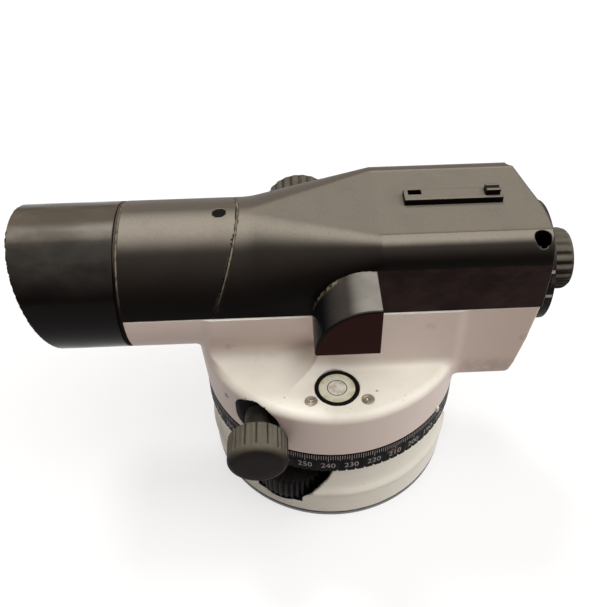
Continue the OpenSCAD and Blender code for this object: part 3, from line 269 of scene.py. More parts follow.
def spun(name, outline, turns, place, shape=None, ring=True, sharp=32):
    """A turned piece from an outline of (radius, along); ring closes the outline on itself."""
    angle = np.arange(turns) * tau / turns
    radius = np.repeat(outline[:, :1], turns, axis=1)
    along = np.repeat(outline[:, 1:], turns, axis=1)
    if shape:
        radius, along = shape(radius, along, angle[None, :])
    points = np.stack(place(radius * np.cos(angle), radius * np.sin(angle), along), axis=2)
    rows = len(outline)
    last = rows if ring else rows - 1
    i, j = np.meshgrid(np.arange(last), np.arange(turns), indexing="ij")
    after, beside = (i + 1) % rows, (j + 1) % turns
    quads = np.stack([i * turns + j, after * turns + j, after * turns + beside, i * turns + beside], axis=-1)
    piece = mesh_of(name, points.reshape(-1, 3), quads.reshape(-1, 4))
    shell = bmesh.new()
    shell.from_mesh(piece.data)
    bmesh.ops.remove_doubles(shell, verts=shell.verts, dist=1e-7)
    bmesh.ops.dissolve_degenerate(shell, edges=shell.edges, dist=1e-7)
    bmesh.ops.recalc_face_normals(shell, faces=shell.faces)
    shell.to_mesh(piece.data)
    shell.free()
    piece.data.set_sharp_from_angle(angle=radians(sharp))
    return piece


def grooves(count, depth, width, start, end, fade):
    """Grooves along a turned piece between two places, fading out over a length at the far end."""
    def shape(radius, along, angle):
        groove = np.abs(np.cos(count * angle / 2)) ** width
        reach = smooth(along, start - 0.3, start) * (1 - smooth(along, end - fade, end))
        edge = radius > radius.max() * 0.8
        return radius - depth * groove * reach * edge, along
    return shape


def joined_meshes(name, parts):
    """One mesh piece from (points, faces) parts in millimetres."""
    mesh = bpy.data.meshes.new(name)
    points, faces = [], []
    for part_points, part_faces in parts:
        faces += [[len(points) + i for i in face] for face in part_faces]
        points += [tuple(c * MM for c in p) for p in part_points]
    mesh.from_pydata(points, [], faces)
    piece = bpy.data.objects.new(name, mesh)
    bpy.context.collection.objects.link(piece)
    return piece


# Finishes

# Stains in the enamel: place, radius, colour and strength
STAINS = [
    ((-39.5, -21.6, 77.2), 4.0, (0.42, 0.27, 0.19), 0.6),
    ((34.4, -27.4, 88.4), 3.0, (0.55, 0.42, 0.33), 0.6),
    ((70.2, -27.5, 80.0), 2.5, (0.40, 0.29, 0.21), 0.7),
    ((53.0, -27.4, 64.6), 7.0, (0.42, 0.34, 0.31), 0.5),
    ((60.0, -27.4, 64.0), 8.0, (0.38, 0.31, 0.29), 0.6),
    ((67.0, -27.4, 65.0), 6.0, (0.40, 0.33, 0.31), 0.5),
    ((14.8, -40.7, 68.3), 0.8, (0.40, 0.24, 0.13), 1.0),
    ((-41.8, -32.7, 59.0), 1.6, (0.10, 0.06, 0.035), 1.0),
]


class Wire:
    """A socket of a finish, so that sums on it are written as Python expressions."""

    def __init__(self, finish, socket):
        self.finish = finish
        self.socket = socket

    def maths(self, operation, *values):
        node = self.finish.node("ShaderNodeMath", {"operation": operation}, dict(enumerate(values)))
        return Wire(self.finish, node.outputs[0])

    def __add__(self, other):
        return self.maths("ADD", self, other)

    __radd__ = __add__

    def __mul__(self, other):
        return self.maths("MULTIPLY", self, other)

    __rmul__ = __mul__

    def __sub__(self, other):
        return self.maths("SUBTRACT", self, other)

    def __rsub__(self, other):
        return self.maths("SUBTRACT", other, self)

    def step(self, low, high):
        """0 at low, 1 at high, smooth between."""
        node = self.finish.node("ShaderNodeMapRange", {"interpolation_type": "SMOOTHSTEP"},
                                {"Value": self, "From Min": low, "From Max": high})
        return Wire(self.finish, node.outputs[0])


class Finish:
    """A material on the Principled shader, with one way to add nodes."""

    def __init__(self, name, **constants):
        self.material = bpy.data.materials.new(name)
        self.material.use_nodes = True
        self.tree = self.material.node_tree
        self.shader = self.tree.nodes["Principled BSDF"]
        for socket, value in constants.items():
            self.shader.inputs[socket.replace("_", " ")].default_value = value
        coordinates = self.node("ShaderNodeTexCoord", {}, {})
        self.place = self.vector("SCALE", Wire(self, coordinates.outputs["Object"]), Scale=1 / MM)
        self.facing = Wire(self, coordinates.outputs["Normal"])

    def node(self, kind, settings, values):
        node = self.tree.nodes.new(kind)
        for name, value in settings.items():
            setattr(node, name, value)
        for name, value in values.items():
            if isinstance(value, Wire):
                self.tree.links.new(value.socket, node.inputs[name])
            else:
                node.inputs[name].default_value = value
        return node

    def vector(self, operation, *values, **named):
        inputs = {**dict(enumerate(values)), **named}
        node = self.node("ShaderNodeVectorMath", {"operation": operation}, inputs)
        return Wire(self, node.outputs["Value" if operation in ("LENGTH", "DISTANCE") else "Vector"])

    def parts(self, wire):
        node = self.node("ShaderNodeSeparateXYZ", {}, {0: wire})
        return [Wire(self, out) for out in node.outputs]

    def noise(self, size, detail=3.0, roughness=0.5, stretch=(1, 1, 1), shift=(0, 0, 0)):
        """Soft noise with features of about size millimetres."""
        place = self.vector("MULTIPLY", self.place, tuple(1 / (size * s) for s in stretch))
        place = self.vector("ADD", place, shift)
        node = self.node("ShaderNodeTexNoise", {}, {"Vector": place, "Scale": 1.0, "Detail": detail,
                                                   "Roughness": roughness})
        return Wire(self, node.outputs["Fac"])

    def grains(self, size):
        """Distance to the nearest of many scattered points, for cast or sprayed grain."""
        node = self.node("ShaderNodeTexVoronoi", {"feature": "SMOOTH_F1"}, {"Vector": self.place,
                                                                           "Scale": 1 / size})
        return Wire(self, node.outputs["Distance"])

    def edges(self, low, high):
        """1 on outward edges, 0 elsewhere."""
        node = self.node("ShaderNodeNewGeometry", {}, {})
        return Wire(self, node.outputs["Pointiness"]).step(low, high)

    def spot(self, centre, radius, soft=0.5):
        """1 inside a ball about a place, fading over soft of its radius."""
        away = self.vector("DISTANCE", self.place, centre)
        return 1 - away.step(radius * (1 - soft), radius)

    def mix(self, a, b, factor):
        """Colour a where factor is 0, b where it is 1."""
        a, b = (c if isinstance(c, Wire) else (*c, 1) for c in (a, b))
        node = self.node("ShaderNodeMix", {"data_type": "RGBA"}, {0: factor, 6: a, 7: b})
        return Wire(self, node.outputs[2])

    def feed(self, **values):
        for name, value in values.items():
            socket = self.shader.inputs[name.replace("_", " ")]
            self.tree.links.new(value.socket, socket)

    def bump(self, height, depth):
        """Relief of depth millimetres where height goes from 0 to 1."""
        node = self.node("ShaderNodeBump", {}, {"Height": height, "Distance": depth * MM, "Strength": 1.0})
        self.tree.links.new(node.outputs[0], self.shader.inputs["Normal"])


def textured_black():
    """Black paint with a fine cast grain; what faces up is lighter with dust and painted sheen, brightest in
    a painted highlight band where it tilts a little towards the near side (-y).
    """
    f = Finish("textured_black", Specular_IOR_Level=0.05)
    away, up = f.parts(f.facing)[1:]
    grain = f.noise(0.7, 3.0, 0.6)
    coarse = f.noise(2.2, 3.0, 0.6)
    patches = 0.8 + 0.4 * f.noise(12, 4.0, 0.6)
    # dust colour, brightest in a painted highlight band on faces tilted a little towards -y
    dust = f.mix((0.115, 0.100, 0.083), (0.285, 0.255, 0.212), (0.966 * up - 0.26 * away).step(0.93, 1.002))
    # painted shading: near black on the sides, lighter as the surface turns up
    base = f.mix((0.003, 0.0016, 0.0014), (0.030, 0.025, 0.021), up.step(0.2, 0.95) * patches)
    # dust and painted sheen on what faces up
    base = f.mix(base, dust, up.step(0.79, 0.97) * patches)
    base = f.mix(base, (0.03, 0.026, 0.022), 0.12 * (1 - grain.step(0.3, 0.6)) * up.step(0.3, 0.9))
    worn = f.edges(0.515, 0.56) * f.noise(3.5, 3.0).step(0.42, 0.6)
    f.feed(Base_Color=f.mix(base, (0.15, 0.14, 0.12), 0.15 * worn),
           Roughness=0.3 + 0.1 * coarse + 0.04 * grain)
    f.bump(grain * 0.8 + 0.3 * coarse, 0.05)
    return f


def cream_enamel():
    """Off-white enamel with yellowing, grime, specks and stains; painted shade makes the sides darker and
    pinker than the tops and paints the knob slots and foot windows black.
    """
    f = Finish("cream_enamel", Specular_IOR_Level=0.4)
    soft = f.noise(22, 3.0, 0.5)
    peel = f.noise(1.7, 2.0, 0.5)
    specks = f.noise(1.3, 2.0, 0.5, shift=(7, 3, 1)).step(0.74, 0.79)
    x, z = f.parts(f.place)[::2]
    up = f.parts(f.facing)[2]
    pale = f.mix((0.94, 0.90, 0.81), (0.88, 0.845, 0.745), soft.step(0.35, 0.7))
    # painted shade: the sides darker and pinker than the tops, darkest where they face down and further back
    # along x
    shaded_sides = f.mix((0.75, 0.655, 0.60), (0.60, 0.50, 0.45), 1 - up.step(-0.7, -0.05))
    shaded_sides = f.mix(shaded_sides, (0.63, 0.53, 0.455), x.step(30, 74) * (1 - up.step(0.0, 0.3)))
    base = f.mix(shaded_sides, pale, up.step(0.05, 0.8))
    base = f.mix(base, (0.86, 0.845, 0.75), 1 - z.step(34, 40))
    grime = f.noise(7, 5.0, 0.7, shift=(2, 9, 4)).step(0.52, 0.8)
    base = f.mix(base, (0.62, 0.56, 0.47), 0.22 * grime)
    base = f.mix(base, (0.25, 0.19, 0.15), 0.6 * specks)
    for centre, radius, tint, strength in STAINS:
        patch = f.spot(centre, radius, 0.8) * f.noise(radius * 0.7, 4.0, 0.7, shift=centre).step(0.3, 0.62)
        base = f.mix(base, tint, strength * patch)
    beyond = z - (WORM_Z + RECESS_RISE / 2)
    beyond = beyond.maths("ABSOLUTE", beyond) - RECESS_RISE / 2
    beyond = beyond.maths("MAXIMUM", beyond, 0.0)
    away = beyond.maths("SQRT", beyond * beyond + (x - WORM_X) * (x - WORM_X))
    # painted shade: the knob slots black
    recess = (1 - away.step(RECESS_R + 0.05, RECESS_R + 0.2)) * z.step(44.4, 44.6)
    base = f.mix(base, (0.006, 0.005, 0.005), recess)
    flat = f.vector("MULTIPLY", f.place, (1, 1, 0))
    # painted shade: black inside the tribrach behind each foot window
    for az in FOOT_AZ:
        around = f.vector("DISTANCE", flat, (FOOT_R * cos(az), FOOT_R * sin(az), 0))
        inside = 1 - f.vector("LENGTH", flat).step(50.8, 50.95)
        dark = (1 - around.step(20, 21)) * inside * (1 - z.step(16, 17))
        base = f.mix(base, (0.012, 0.010, 0.009), dark)
    f.feed(Base_Color=base, Roughness=0.40 + 0.18 * grime + 0.5 * recess)
    f.bump(peel, 0.02)
    return f


def hood_black():
    """Smooth moulded black with rubbed dusty patches, lighter on top with dust and painted sheen and a
    painted highlight band.
    """
    f = Finish("hood_black", Specular_IOR_Level=0.07)
    rubbed = f.noise(9, 3.0, 0.55, stretch=(1.8, 1, 1)).step(0.34, 0.68)
    fine = f.noise(0.9, 3.0, 0.6)
    away, up = f.parts(f.facing)[1:]
    # dust and painted sheen, lighter the more it faces up
    base = f.mix((0.004, 0.0022, 0.0022), (0.043, 0.040, 0.035), up.step(0.3, 0.92) * (0.5 + 0.5 * rubbed))
    base = f.mix(base, (0.112, 0.092, 0.073), up.step(0.88, 1.0) * (0.75 + 0.25 * rubbed))
    # painted highlight band where the surface tilts a little towards the near side (-y)
    painted_highlight = (0.97 * up - 0.24 * away).step(0.984, 1.001)
    base = f.mix(base, (0.185, 0.170, 0.145), painted_highlight * (0.5 + 0.5 * rubbed))
    f.feed(Base_Color=base, Roughness=0.16 + 0.14 * rubbed)
    f.bump(fine, 0.006)
    return f


def gloss_black():
    """Polished black moulding, lighter on top with dust and painted sheen, with dust caught along the wall
    behind it.
    """
    f = Finish("gloss_black", Specular_IOR_Level=0.04)
    up = f.parts(f.facing)[2]
    dull = f.noise(9, 3.0, 0.5).step(0.35, 0.7)
    scratch = f.noise(0.5, 2.0, 0.5, stretch=(1, 1, 14)).step(0.68, 0.76)
    base = f.mix((0.026, 0.0055, 0.0035), (0.006, 0.0065, 0.0075), up.step(0.05, 0.25))
    # dust and painted sheen, lighter the more it faces up
    base = f.mix(base, (0.062, 0.054, 0.048), up.step(0.5, 0.9) * (0.8 + 0.2 * dull))
    base = f.mix(base, (0.27, 0.255, 0.23), up.step(0.89, 1.0) * (0.75 + 0.25 * dull))
    x, y, z = f.parts(f.place)
    wall = y.step(-TUBE_R - 2.6, -TUBE_R - 0.4) * f.noise(1.6, 4.0, 0.7).step(0.42, 0.56)
    wall = wall * (1 - x.step(-1, 3)) * z.step(SPLIT_Z + 1, SPLIT_Z + 6)
    f.feed(Base_Color=f.mix(base, (0.33, 0.27, 0.16), 0.8 * wall),
           Roughness=0.2 + 0.1 * dull + 0.1 * scratch)
    f.bump(f.noise(3.0, 2.0), 0.008)
    return f


def satin_black(name="satin_black", dust=(0.06, 0.054, 0.046), rough=0.38, wear=0.4):
    """Turned black parts, a little lighter on top with dust and painted sheen."""
    f = Finish(name, Specular_IOR_Level=0.06)
    up = f.parts(f.facing)[2]
    grain = f.noise(0.45, 3.0, 0.6)
    patch = f.noise(5, 4.0, 0.6)
    # dust and painted sheen on what faces up
    base = f.mix((0.0042, 0.0034, 0.0034), dust, up.step(0.1, 1.0) * (0.5 + patch) * 0.8)
    worn = f.edges(0.52, 0.6) * patch.step(0.4, 0.6)
    f.feed(Base_Color=f.mix(base, (0.12, 0.11, 0.10), wear * worn), Roughness=rough + 0.16 * patch)
    f.bump(grain, 0.015)
    return f


def knob_grey():
    """Dusty dark grey moulded knobs, lighter on top with dust and painted sheen, with painted shade down in
    their grooves.
    """
    f = Finish("knob_grey", Specular_IOR_Level=0.07)
    up = f.parts(f.facing)[2]
    patch = f.noise(4, 4.0, 0.65)
    fine = f.noise(0.5, 3.0, 0.6)
    # dust and painted sheen on what faces up
    base = f.mix((0.0085, 0.0052, 0.0042), (0.122, 0.110, 0.086), up.step(0.05, 0.8) * (0.5 + 0.8 * patch))
    # painted shade in the grooves and hollows
    hollow = 1 - f.edges(0.44, 0.5)
    base = f.mix(base, (0.005, 0.004, 0.004), 0.85 * hollow)
    f.feed(Base_Color=f.mix(base, (0.16, 0.15, 0.13), 0.25 * f.edges(0.53, 0.6)),
           Roughness=0.42 + 0.2 * patch)
    f.bump(fine, 0.02)
    return f


def panel_maroon():
    """The smooth dark maroon panel on the telescope's side."""
    f = Finish("panel_maroon", Specular_IOR_Level=0.04)
    patch = f.noise(12, 4.0, 0.6)
    fine = f.noise(0.8, 3.0, 0.6)
    smear = f.noise(5, 3.0, 0.6, stretch=(3, 1, 1), shift=(4, 1, 2)).step(0.5, 0.75)
    base = f.mix((0.014, 0.006, 0.0055), (0.030, 0.017, 0.015), patch.step(0.3, 0.7))
    f.feed(Base_Color=f.mix(base, (0.05, 0.038, 0.034), 0.3 * smear), Roughness=0.30 + 0.2 * smear)
    f.bump(fine, 0.01)
    return f


def circle_black():
    """The circle's black, with rubbed grime between its figures."""
    f = Finish("circle_black", Specular_IOR_Level=0.03)
    grime = f.noise(3.2, 5.0, 0.7).step(0.52, 0.72)
    base = f.mix((0.0032, 0.0026, 0.003), (0.04, 0.034, 0.027), 0.35 * grime)
    dirt = f.spot((49.0 * sin(radians(25)), -49.0 * cos(radians(25)), 40), 5.0, 0.7)
    base = f.mix(base, (0.30, 0.24, 0.18), 0.7 * dirt * f.noise(2.5, 4.0, 0.7).step(0.4, 0.6))
    f.feed(Base_Color=base, Roughness=0.42 + 0.25 * grime)
    f.bump(f.noise(0.5, 3.0), 0.015)
    return f


def print_white():
    """The circle's printed figures, rubbed thin in places."""
    f = Finish("print_white", Specular_IOR_Level=0.3, Roughness=0.6)
    worn = f.noise(1.4, 5.0, 0.75).step(0.5, 0.68)
    f.feed(Base_Color=f.mix((0.40, 0.37, 0.36), (0.10, 0.09, 0.085), 0.75 * worn))
    f.bump(f.noise(0.4, 2.0), 0.01)
    return f


def metal(name, colour, dark, rough, grain=(1, 1, 12)):
    """Turned or plated metal with tool marks and some tarnish."""
    f = Finish(name, Metallic=1.0)
    marks = f.noise(0.35, 3.0, 0.6, stretch=grain)
    tarnish = f.noise(4, 4.0, 0.65).step(0.45, 0.75)
    f.feed(Base_Color=f.mix(colour, dark, 0.6 * tarnish + 0.15 * marks), Roughness=rough + 0.2 * tarnish)
    f.bump(marks, 0.01)
    return f


def casting():
    """Bare grey casting."""
    f = Finish("bare_casting", Metallic=0.8)
    grain = f.grains(0.9)
    patch = f.noise(9, 4.0, 0.6)
    f.feed(Base_Color=f.mix((0.16, 0.16, 0.165), (0.34, 0.34, 0.35), patch), Roughness=0.5 + 0.2 * patch)
    f.bump(grain, 0.05)
    return f


def coated_glass():
    """Coated optical glass with faint dust."""
    f = Finish("coated_glass", Transmission_Weight=0.9, IOR=1.52, Coat_Tint=(0.6, 0.5, 0.9, 1),
               Coat_Weight=0.4)
    dust = f.noise(1.5, 5.0, 0.7).step(0.6, 0.8)
    f.feed(Base_Color=f.mix((0.80, 0.90, 0.86), (0.6, 0.6, 0.55), dust), Roughness=0.03 + 0.2 * dust)
    f.bump(f.noise(20, 1.0), 0.005)
    return f


def vial_cream():
    """The level's glass over its cream cup."""
    f = Finish("vial_cream", Specular_IOR_Level=0.5, Coat_Weight=1.0, Coat_Roughness=0.08)
    away = f.vector("DISTANCE", f.vector("MULTIPLY", f.place, (1, 1, 0)), (LEVEL_X, LEVEL_Y, 0))
    outer = away.step(3.4, 6.2)
    cup = f.mix((0.86, 0.84, 0.72), (0.62, 0.60, 0.40), outer * f.noise(5, 3.0, 0.6).step(0.35, 0.6))
    lit = f.noise(2.2, 2.0, 0.4, shift=(3, 3, 0)).step(0.38, 0.6)
    inner = f.mix((0.66, 0.60, 0.49), (0.90, 0.86, 0.78), lit)
    f.feed(Base_Color=f.mix(inner, cup, away.step(3.3, 3.6)), Roughness=0.3 + 0.1 * lit)
    f.bump(f.noise(2.0, 2.0), 0.02)
    return f


def silvered():
    """The mirror's silvered glass with a little dust."""
    f = Finish("silvered_glass", Metallic=1.0)
    dust = f.noise(2.2, 5.0, 0.7).step(0.5, 0.8)
    f.feed(Base_Color=f.mix((0.85, 0.87, 0.90), (0.5, 0.48, 0.44), 0.5 * dust), Roughness=0.05 + 0.25 * dust)
    f.bump(f.noise(12, 1.0), 0.004)
    return f


FINISHES = {
    "black_texture": textured_black(),
    "cream_paint": cream_enamel(),
    "satin_black": satin_black(),
    "gloss_black": gloss_black(),
    "circle_black": circle_black(),
    "knob_grey": knob_grey(),
    "screw_black": satin_black("screw_black", (0.024, 0.022, 0.021), 0.3),
    "panel": panel_maroon(),
    "casting": casting(),
    "steel": metal("turned_steel", (0.56, 0.56, 0.57), (0.30, 0.29, 0.28), 0.28),
    "nickel": metal("nickel_plate", (0.68, 0.64, 0.54), (0.26, 0.22, 0.15), 0.24, (1, 1, 1)),
    "brass": metal("turned_brass", (0.70, 0.50, 0.22), (0.34, 0.22, 0.10), 0.28),
    "glass": coated_glass(),
    "bubble_glass": vial_cream(),
    "mirror": silvered(),
}
HOOD_BLACK = hood_black()
RING_BLACK = satin_black("ring_black", (0.009, 0.0075, 0.0065), 0.3, 0.02)
PRINT_WHITE = print_white()


def dress(piece, body, slot, *nodes, finish=None):
    """Gives a piece its finish and its place on a body, standing for CAD nodes."""
    piece.data.materials.clear()
    piece.data.materials.append((finish or FINISHES[slot]).material)
    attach(piece, body)
    if nodes:
        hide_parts(*nodes)
    return piece


# Lower body

def rear_of_box(y, z):
    return np.interp(z, REAR_HEIGHTS, REAR_PLACES) - 0.03 * (y + BOX_HALF)


def knob_slot(x, z, r):
    """The upright slot with round ends behind each tangent knob."""
    middle = WORM_Z + RECESS_RISE / 2
    return rod(x - WORM_X, np.maximum(np.abs(z - middle) - RECESS_RISE / 2, 0), r)


def spigot_hole(x, y, z):
    """The hole at the rear for the eyepiece tube."""
    return np.maximum(rod(y, z - AXIS_Z, SPIGOT_R), SPIGOT_X - x)


def focus_hole(x, y, z):
    """The hole on the far side for the focusing shaft's bush."""
    return np.maximum(rod(x - FOCUS_X, z - AXIS_Z, BUSH_HOLE_R), 20 - y)


def lower_body_field(x, y, z):
    r = np.hypot(x, y)
    rise = np.clip((z - DRUM_Z) / (DRUM_TOP_Z - DRUM_Z), 0, 1)
    cone = r - (DRUM_R + (DRUM_TOP_R - DRUM_R) * rise)
    tube = np.maximum(rod(y, z - AXIS_Z, TUBE_R), x - BOX_FRONT - 4)
    walls = common(slab(y, -BOX_HALF, BOX_HALF), x - rear_of_box(y, z), 1.2)
    box = np.maximum(common(walls, BOX_Z - z, 1.5), BOX_FRONT - x)
    telescope = joined(tube, box, 3)
    fillet = SWEEP_R - (SWEEP_R - 4) * smooth(x, -26, 9)
    swept = joined(telescope, z - DRUM_TOP_Z, fillet)
    ridge = DRUM_EDGE - 2.2 * smooth(z, DRUM_TOP_Z - 0.5, DRUM_TOP_Z + 4)
    outer = joined(common(swept, cone, ridge), telescope, 2.5)
    outer = common(common(outer, DRUM_Z - z, 0.5), z - SPLIT_Z, 0.25)
    outer = common(outer, TUBE_FRONT - x, 0.3)
    drum_hollow = np.maximum(r - DRUM_IN_R, z - (DRUM_TOP_Z - WALL))
    tube_hollow = np.maximum(rod(y, z - AXIS_Z, TUBE_R - WALL), x)
    box_hollow = np.maximum(slab(y, WALL - BOX_HALF, BOX_HALF - WALL), x - rear_of_box(y, z) + WALL)
    floor = np.where(x < DRUM_TOP_R, AXIS_Z - TUBE_R + WALL, BOX_Z + WALL)
    box_hollow = np.maximum(np.maximum(box_hollow, floor - z), BOX_FRONT + WALL - x)
    hollow = np.minimum(np.minimum(drum_hollow, tube_hollow), box_hollow)
    shell = cut(outer, hollow, 0.2)
    cup = np.maximum(knob_slot(x, z, RECESS_R + 2), RECESS_Y - 2 - np.abs(y))
    shell = np.minimum(shell, np.maximum(cup, outer))
    recess = np.maximum(knob_slot(x, z, RECESS_R), RECESS_Y - np.abs(y))
    shell = cut(shell, recess, 0.45)
    bush = np.maximum(rod(x - WORM_X, z - WORM_Z, BUSH_HOLE_R), 30 - np.abs(y))
    level = np.maximum(rod(x - LEVEL_X, y - LEVEL_Y, LEVEL_R + 0.02), 60 - z)
    vent = np.maximum(rod(x * sin(VENT_AZ) - y * cos(VENT_AZ), z - 59, 0.9),
                      40 - x * cos(VENT_AZ) - y * sin(VENT_AZ))
    for hole in (bush, level, vent, spigot_hole(x, y, z), focus_hole(x, y, z)):
        shell = cut(shell, hole, 0.15)
    for screw_x, screw_y in LEVEL_SCREWS:
        shell = cut(shell, np.maximum(rod(x - screw_x, y - screw_y, 2.35), 66 - z), 0.15)
    return shell


def lower_body():
    piece = skin("lower_body_shell", lower_body_field, (-76.2, -54.2, 43.8), (74.6, 54.2, 96.2), 0.8,
                 ((TUBE_FRONT,), (-BOX_HALF, BOX_HALF), (SPLIT_Z, DRUM_TOP_Z, DRUM_Z)))
    dress(piece, "alidade", "cream_paint", "lower_body")


# Covers

def seam_at(z):
    return SEAM_X - SEAM_SLOPE * (AXIS_Z + TUBE_R - z)


def rear_of_cover(y):
    return np.interp(y, [-28, -24.6, -17.8, -11.7, -4.8, 2.4, 9, 16.2, 28],
                     [73.7, 73.9, 74.5, 74.7, 74.1, 72.6, 71.3, 70.0, 67.7])


def cover_section(x, y, z):
    """The cover's outside: round at the front, with a flat top and rounded edges behind."""
    run = x - LOFT_FRONT
    start = 3.0
    run = np.where(np.abs(run) < start, (run + start) ** 2 / (4 * start), np.maximum(run, 0))
    t = np.minimum(run / (LOFT_REAR - LOFT_FRONT), 1)
    width = t * FLAT_HALF
    height = t * (TOP_Z - AXIS_Z - EDGE_R)
    r = (1 - t) * TUBE_R + t * EDGE_R
    away = np.hypot(np.maximum(np.abs(y) - width, 0), np.maximum(z - AXIS_Z - height, 0)) - r
    crease = np.exp(-((np.abs(y) - FLAT_HALF - 0.1) / 0.4) ** 2) * smooth(x, 14, 17)
    return away - 0.05 * crease


def top_cover_field(x, y, z):
    outside = cover_section(x, y, z)
    body = common(outside, x - rear_of_cover(y), 0.7)
    body = common(body, seam_at(z) + SEAM_GAP - x, 0.35)
    body = common(body, COVER_Z - z, 0.25)
    body = cut(body, np.maximum(outside + WALL, x - rear_of_cover(y) + WALL), 0.3)
    well = rod(x - REAR_SCREW[0], np.abs(y) - REAR_SCREW[1], WELL_R)
    post = np.maximum(rod(x - REAR_SCREW[0], np.abs(y) - REAR_SCREW[1], 4), COVER_Z - z)
    body = np.minimum(body, np.maximum(np.maximum(post, z - WELL_Z), outside))
    body = cut(body, np.maximum(well, WELL_Z - z), 0.3)
    body = cut(body, spigot_hole(x, y, z), 0.15)
    return cut(body, focus_hole(x, y, z), 0.15)


def front_cover_field(x, y, z):
    outside = rod(y, z - AXIS_Z, TUBE_R)
    body = common(outside, x - seam_at(z) + SEAM_GAP, 0.35)
    body = common(body, TUBE_FRONT - x, 0.35)
    body = common(body, COVER_Z - z, 0.25)
    body = cut(body, outside + WALL, 0.3)
    return cut(body, np.maximum(rod(x - FRONT_SCREW_X, y, 2.15), 115 - z), 0.15)


def covers():
    top = skin("rear_cover", top_cover_field, (-45, -28.4, 94.6), (75.6, 28.4, 125), 0.75,
               ((), (-FLAT_HALF - 0.1, FLAT_HALF + 0.1, -TUBE_R, TUBE_R), (COVER_Z, TOP_Z)))
    dress(top, "alidade", "black_texture", "top_cover")
    front = skin("front_cover_shell", front_cover_field, (-76.2, -28.4, 94.6), (-32.6, 28.4, 122.6), 0.75,
                 ((TUBE_FRONT,), (), (COVER_Z,)))
    dress(front, "alidade", "black_texture", "front_cover")


def seam_finish():
    """Tan dust, darker lower down the sides, and black in front of the hood's seam."""
    f = Finish("seam_dust", Roughness=0.8, Specular_IOR_Level=0.05)
    streak = f.noise(2.0, 4.0, 0.7).step(0.4, 0.62)
    x, z = f.parts(f.place)[::2]
    base = f.mix((0.25, 0.21, 0.15), (0.10, 0.082, 0.06), streak)
    # darker lower down the sides
    base = f.mix(base, (0.02, 0.014, 0.010), 1 - z.step(98, 114))
    black = f.mix((0.005, 0.003, 0.003), (0.085, 0.070, 0.057), f.parts(f.facing)[2].step(0.6, 1.0))
    f.feed(Base_Color=f.mix(black, base, x.step(-75.85, -75.75)))
    f.bump(f.noise(0.6), 0.03)
    return f


def seams():
    """Dust in the slanted seam between the covers, and the collar down in the hood's seam."""
    finish = seam_finish()
    angle = np.linspace(0.05, pi - 0.05, 97)
    count = len(angle)
    rows = []
    outer, inner, half = TUBE_R - 0.05, TUBE_R - 1.5, 0.25
    for r, shift in ((outer, -half), (outer, half), (inner, half), (inner, -half)):
        z = AXIS_Z + r * np.sin(angle)
        rows.append(np.stack([seam_at(z) + shift, -r * np.cos(angle), z], axis=1))
    faces = [[a * count + i, a * count + i + 1, ((a + 1) % 4) * count + i + 1, ((a + 1) % 4) * count + i]
             for a in range(4) for i in range(count - 1)]
    piece = joined_meshes("seam_dust", [(np.concatenate(rows).tolist(), faces)])
    dress(piece, "alidade", "black_texture", finish=finish)
    ends = HOOD_REAR - 0.6, TUBE_FRONT + 0.6
    collar = eased([(TUBE_R - 1.6, ends[0]), (TUBE_R - 0.8, ends[0]), (TUBE_R - 0.8, HOOD_REAR + 0.15),
                    (TUBE_R - 0.06, HOOD_REAR + 0.2, 0.1), (TUBE_R - 0.06, TUBE_FRONT - 0.55, 0.1),
                    (TUBE_R - 0.35, TUBE_FRONT - 0.4), (TUBE_R - 0.35, TUBE_FRONT + 0.1),
                    (TUBE_R - 0.8, ends[1]), (TUBE_R - 1.6, ends[1])], 3)
    ring = spun("hood_seam_collar", collar, 192, along_x(0))
    dress(ring, "alidade", "black_texture", finish=finish)


def side_panel():
    """The smooth plate let into the cover's near side."""
    face = -TUBE_R - 0.05

    def field(x, y, z):
        plate = brick(x, y, z, (PANEL_X, face, COVER_Z), (PANEL_REAR, -TUBE_R + 0.45, PANEL_TOP), 0.2)
        well = rod(x - REAR_SCREW[0], y + REAR_SCREW[1], WELL_R)
        return cut(plate, well, 0.1)
    piece = skin("panel_plate", field, (PANEL_X - 0.6, -28.2, 94.9), (74.5, -26.6, PANEL_TOP + 0.6), 0.5,
                 ((), (face,), (PANEL_TOP, COVER_Z)))
    dress(piece, "alidade", "panel", "side_panel")


def hood_field(x, y, z):
    mouth = (HOOD_FRONT + HOOD_SLOPE * (AXIS_Z + TUBE_R - 2.5 - z) - x) * cos(radians(15))
    body = common(rod(y, z - AXIS_Z, TUBE_R), mouth, 0.35)
    body = common(body, x - HOOD_REAR, 0.3)
    return cut(body, rod(y, z - AXIS_Z, TUBE_R - 2.2), 0.7)


def hood():
    piece = skin("hood_tube", hood_field, (-116.2, -28.4, 65.8), (-76, 28.4, 122.6), 0.75,
                 ((HOOD_REAR,), (), ()))
    dress(piece, "alidade", "satin_black", "hood", finish=HOOD_BLACK)


def sight_rail():
    """The sight on the top: a flat bar with a pit at its front and a raised rear with a notch along it."""
    top = TOP_Z

    def field(x, y, z):
        rail = brick(x, y, z, (25.6, -3.1, top - 0.1), (60.5, 3.3, top + 2.4), 0.3)
        rail = joined(rail, brick(x, y, z, (54.3, -1.8, top), (59.4, 2.2, top + 4.6), 0.35), 0.2)
        rail = cut(rail, brick(x, y, z, (27.3, 0.2, top + 0.2), (31.9, 2.8, top + 9), 0.3), 0.15)
        return cut(rail, 0.8 * (np.abs(y - 0.4) - (z - top - 3.7)), 0.15)
    piece = skin("sight_rail_bar", field, (25.1, -3.7, top - 0.5), (61, 3.9, top + 5.2), 0.26)
    dress(piece, "alidade", "satin_black", "sight_rail", finish=FINISHES["black_texture"])


# Circular level, its screws and its mirror

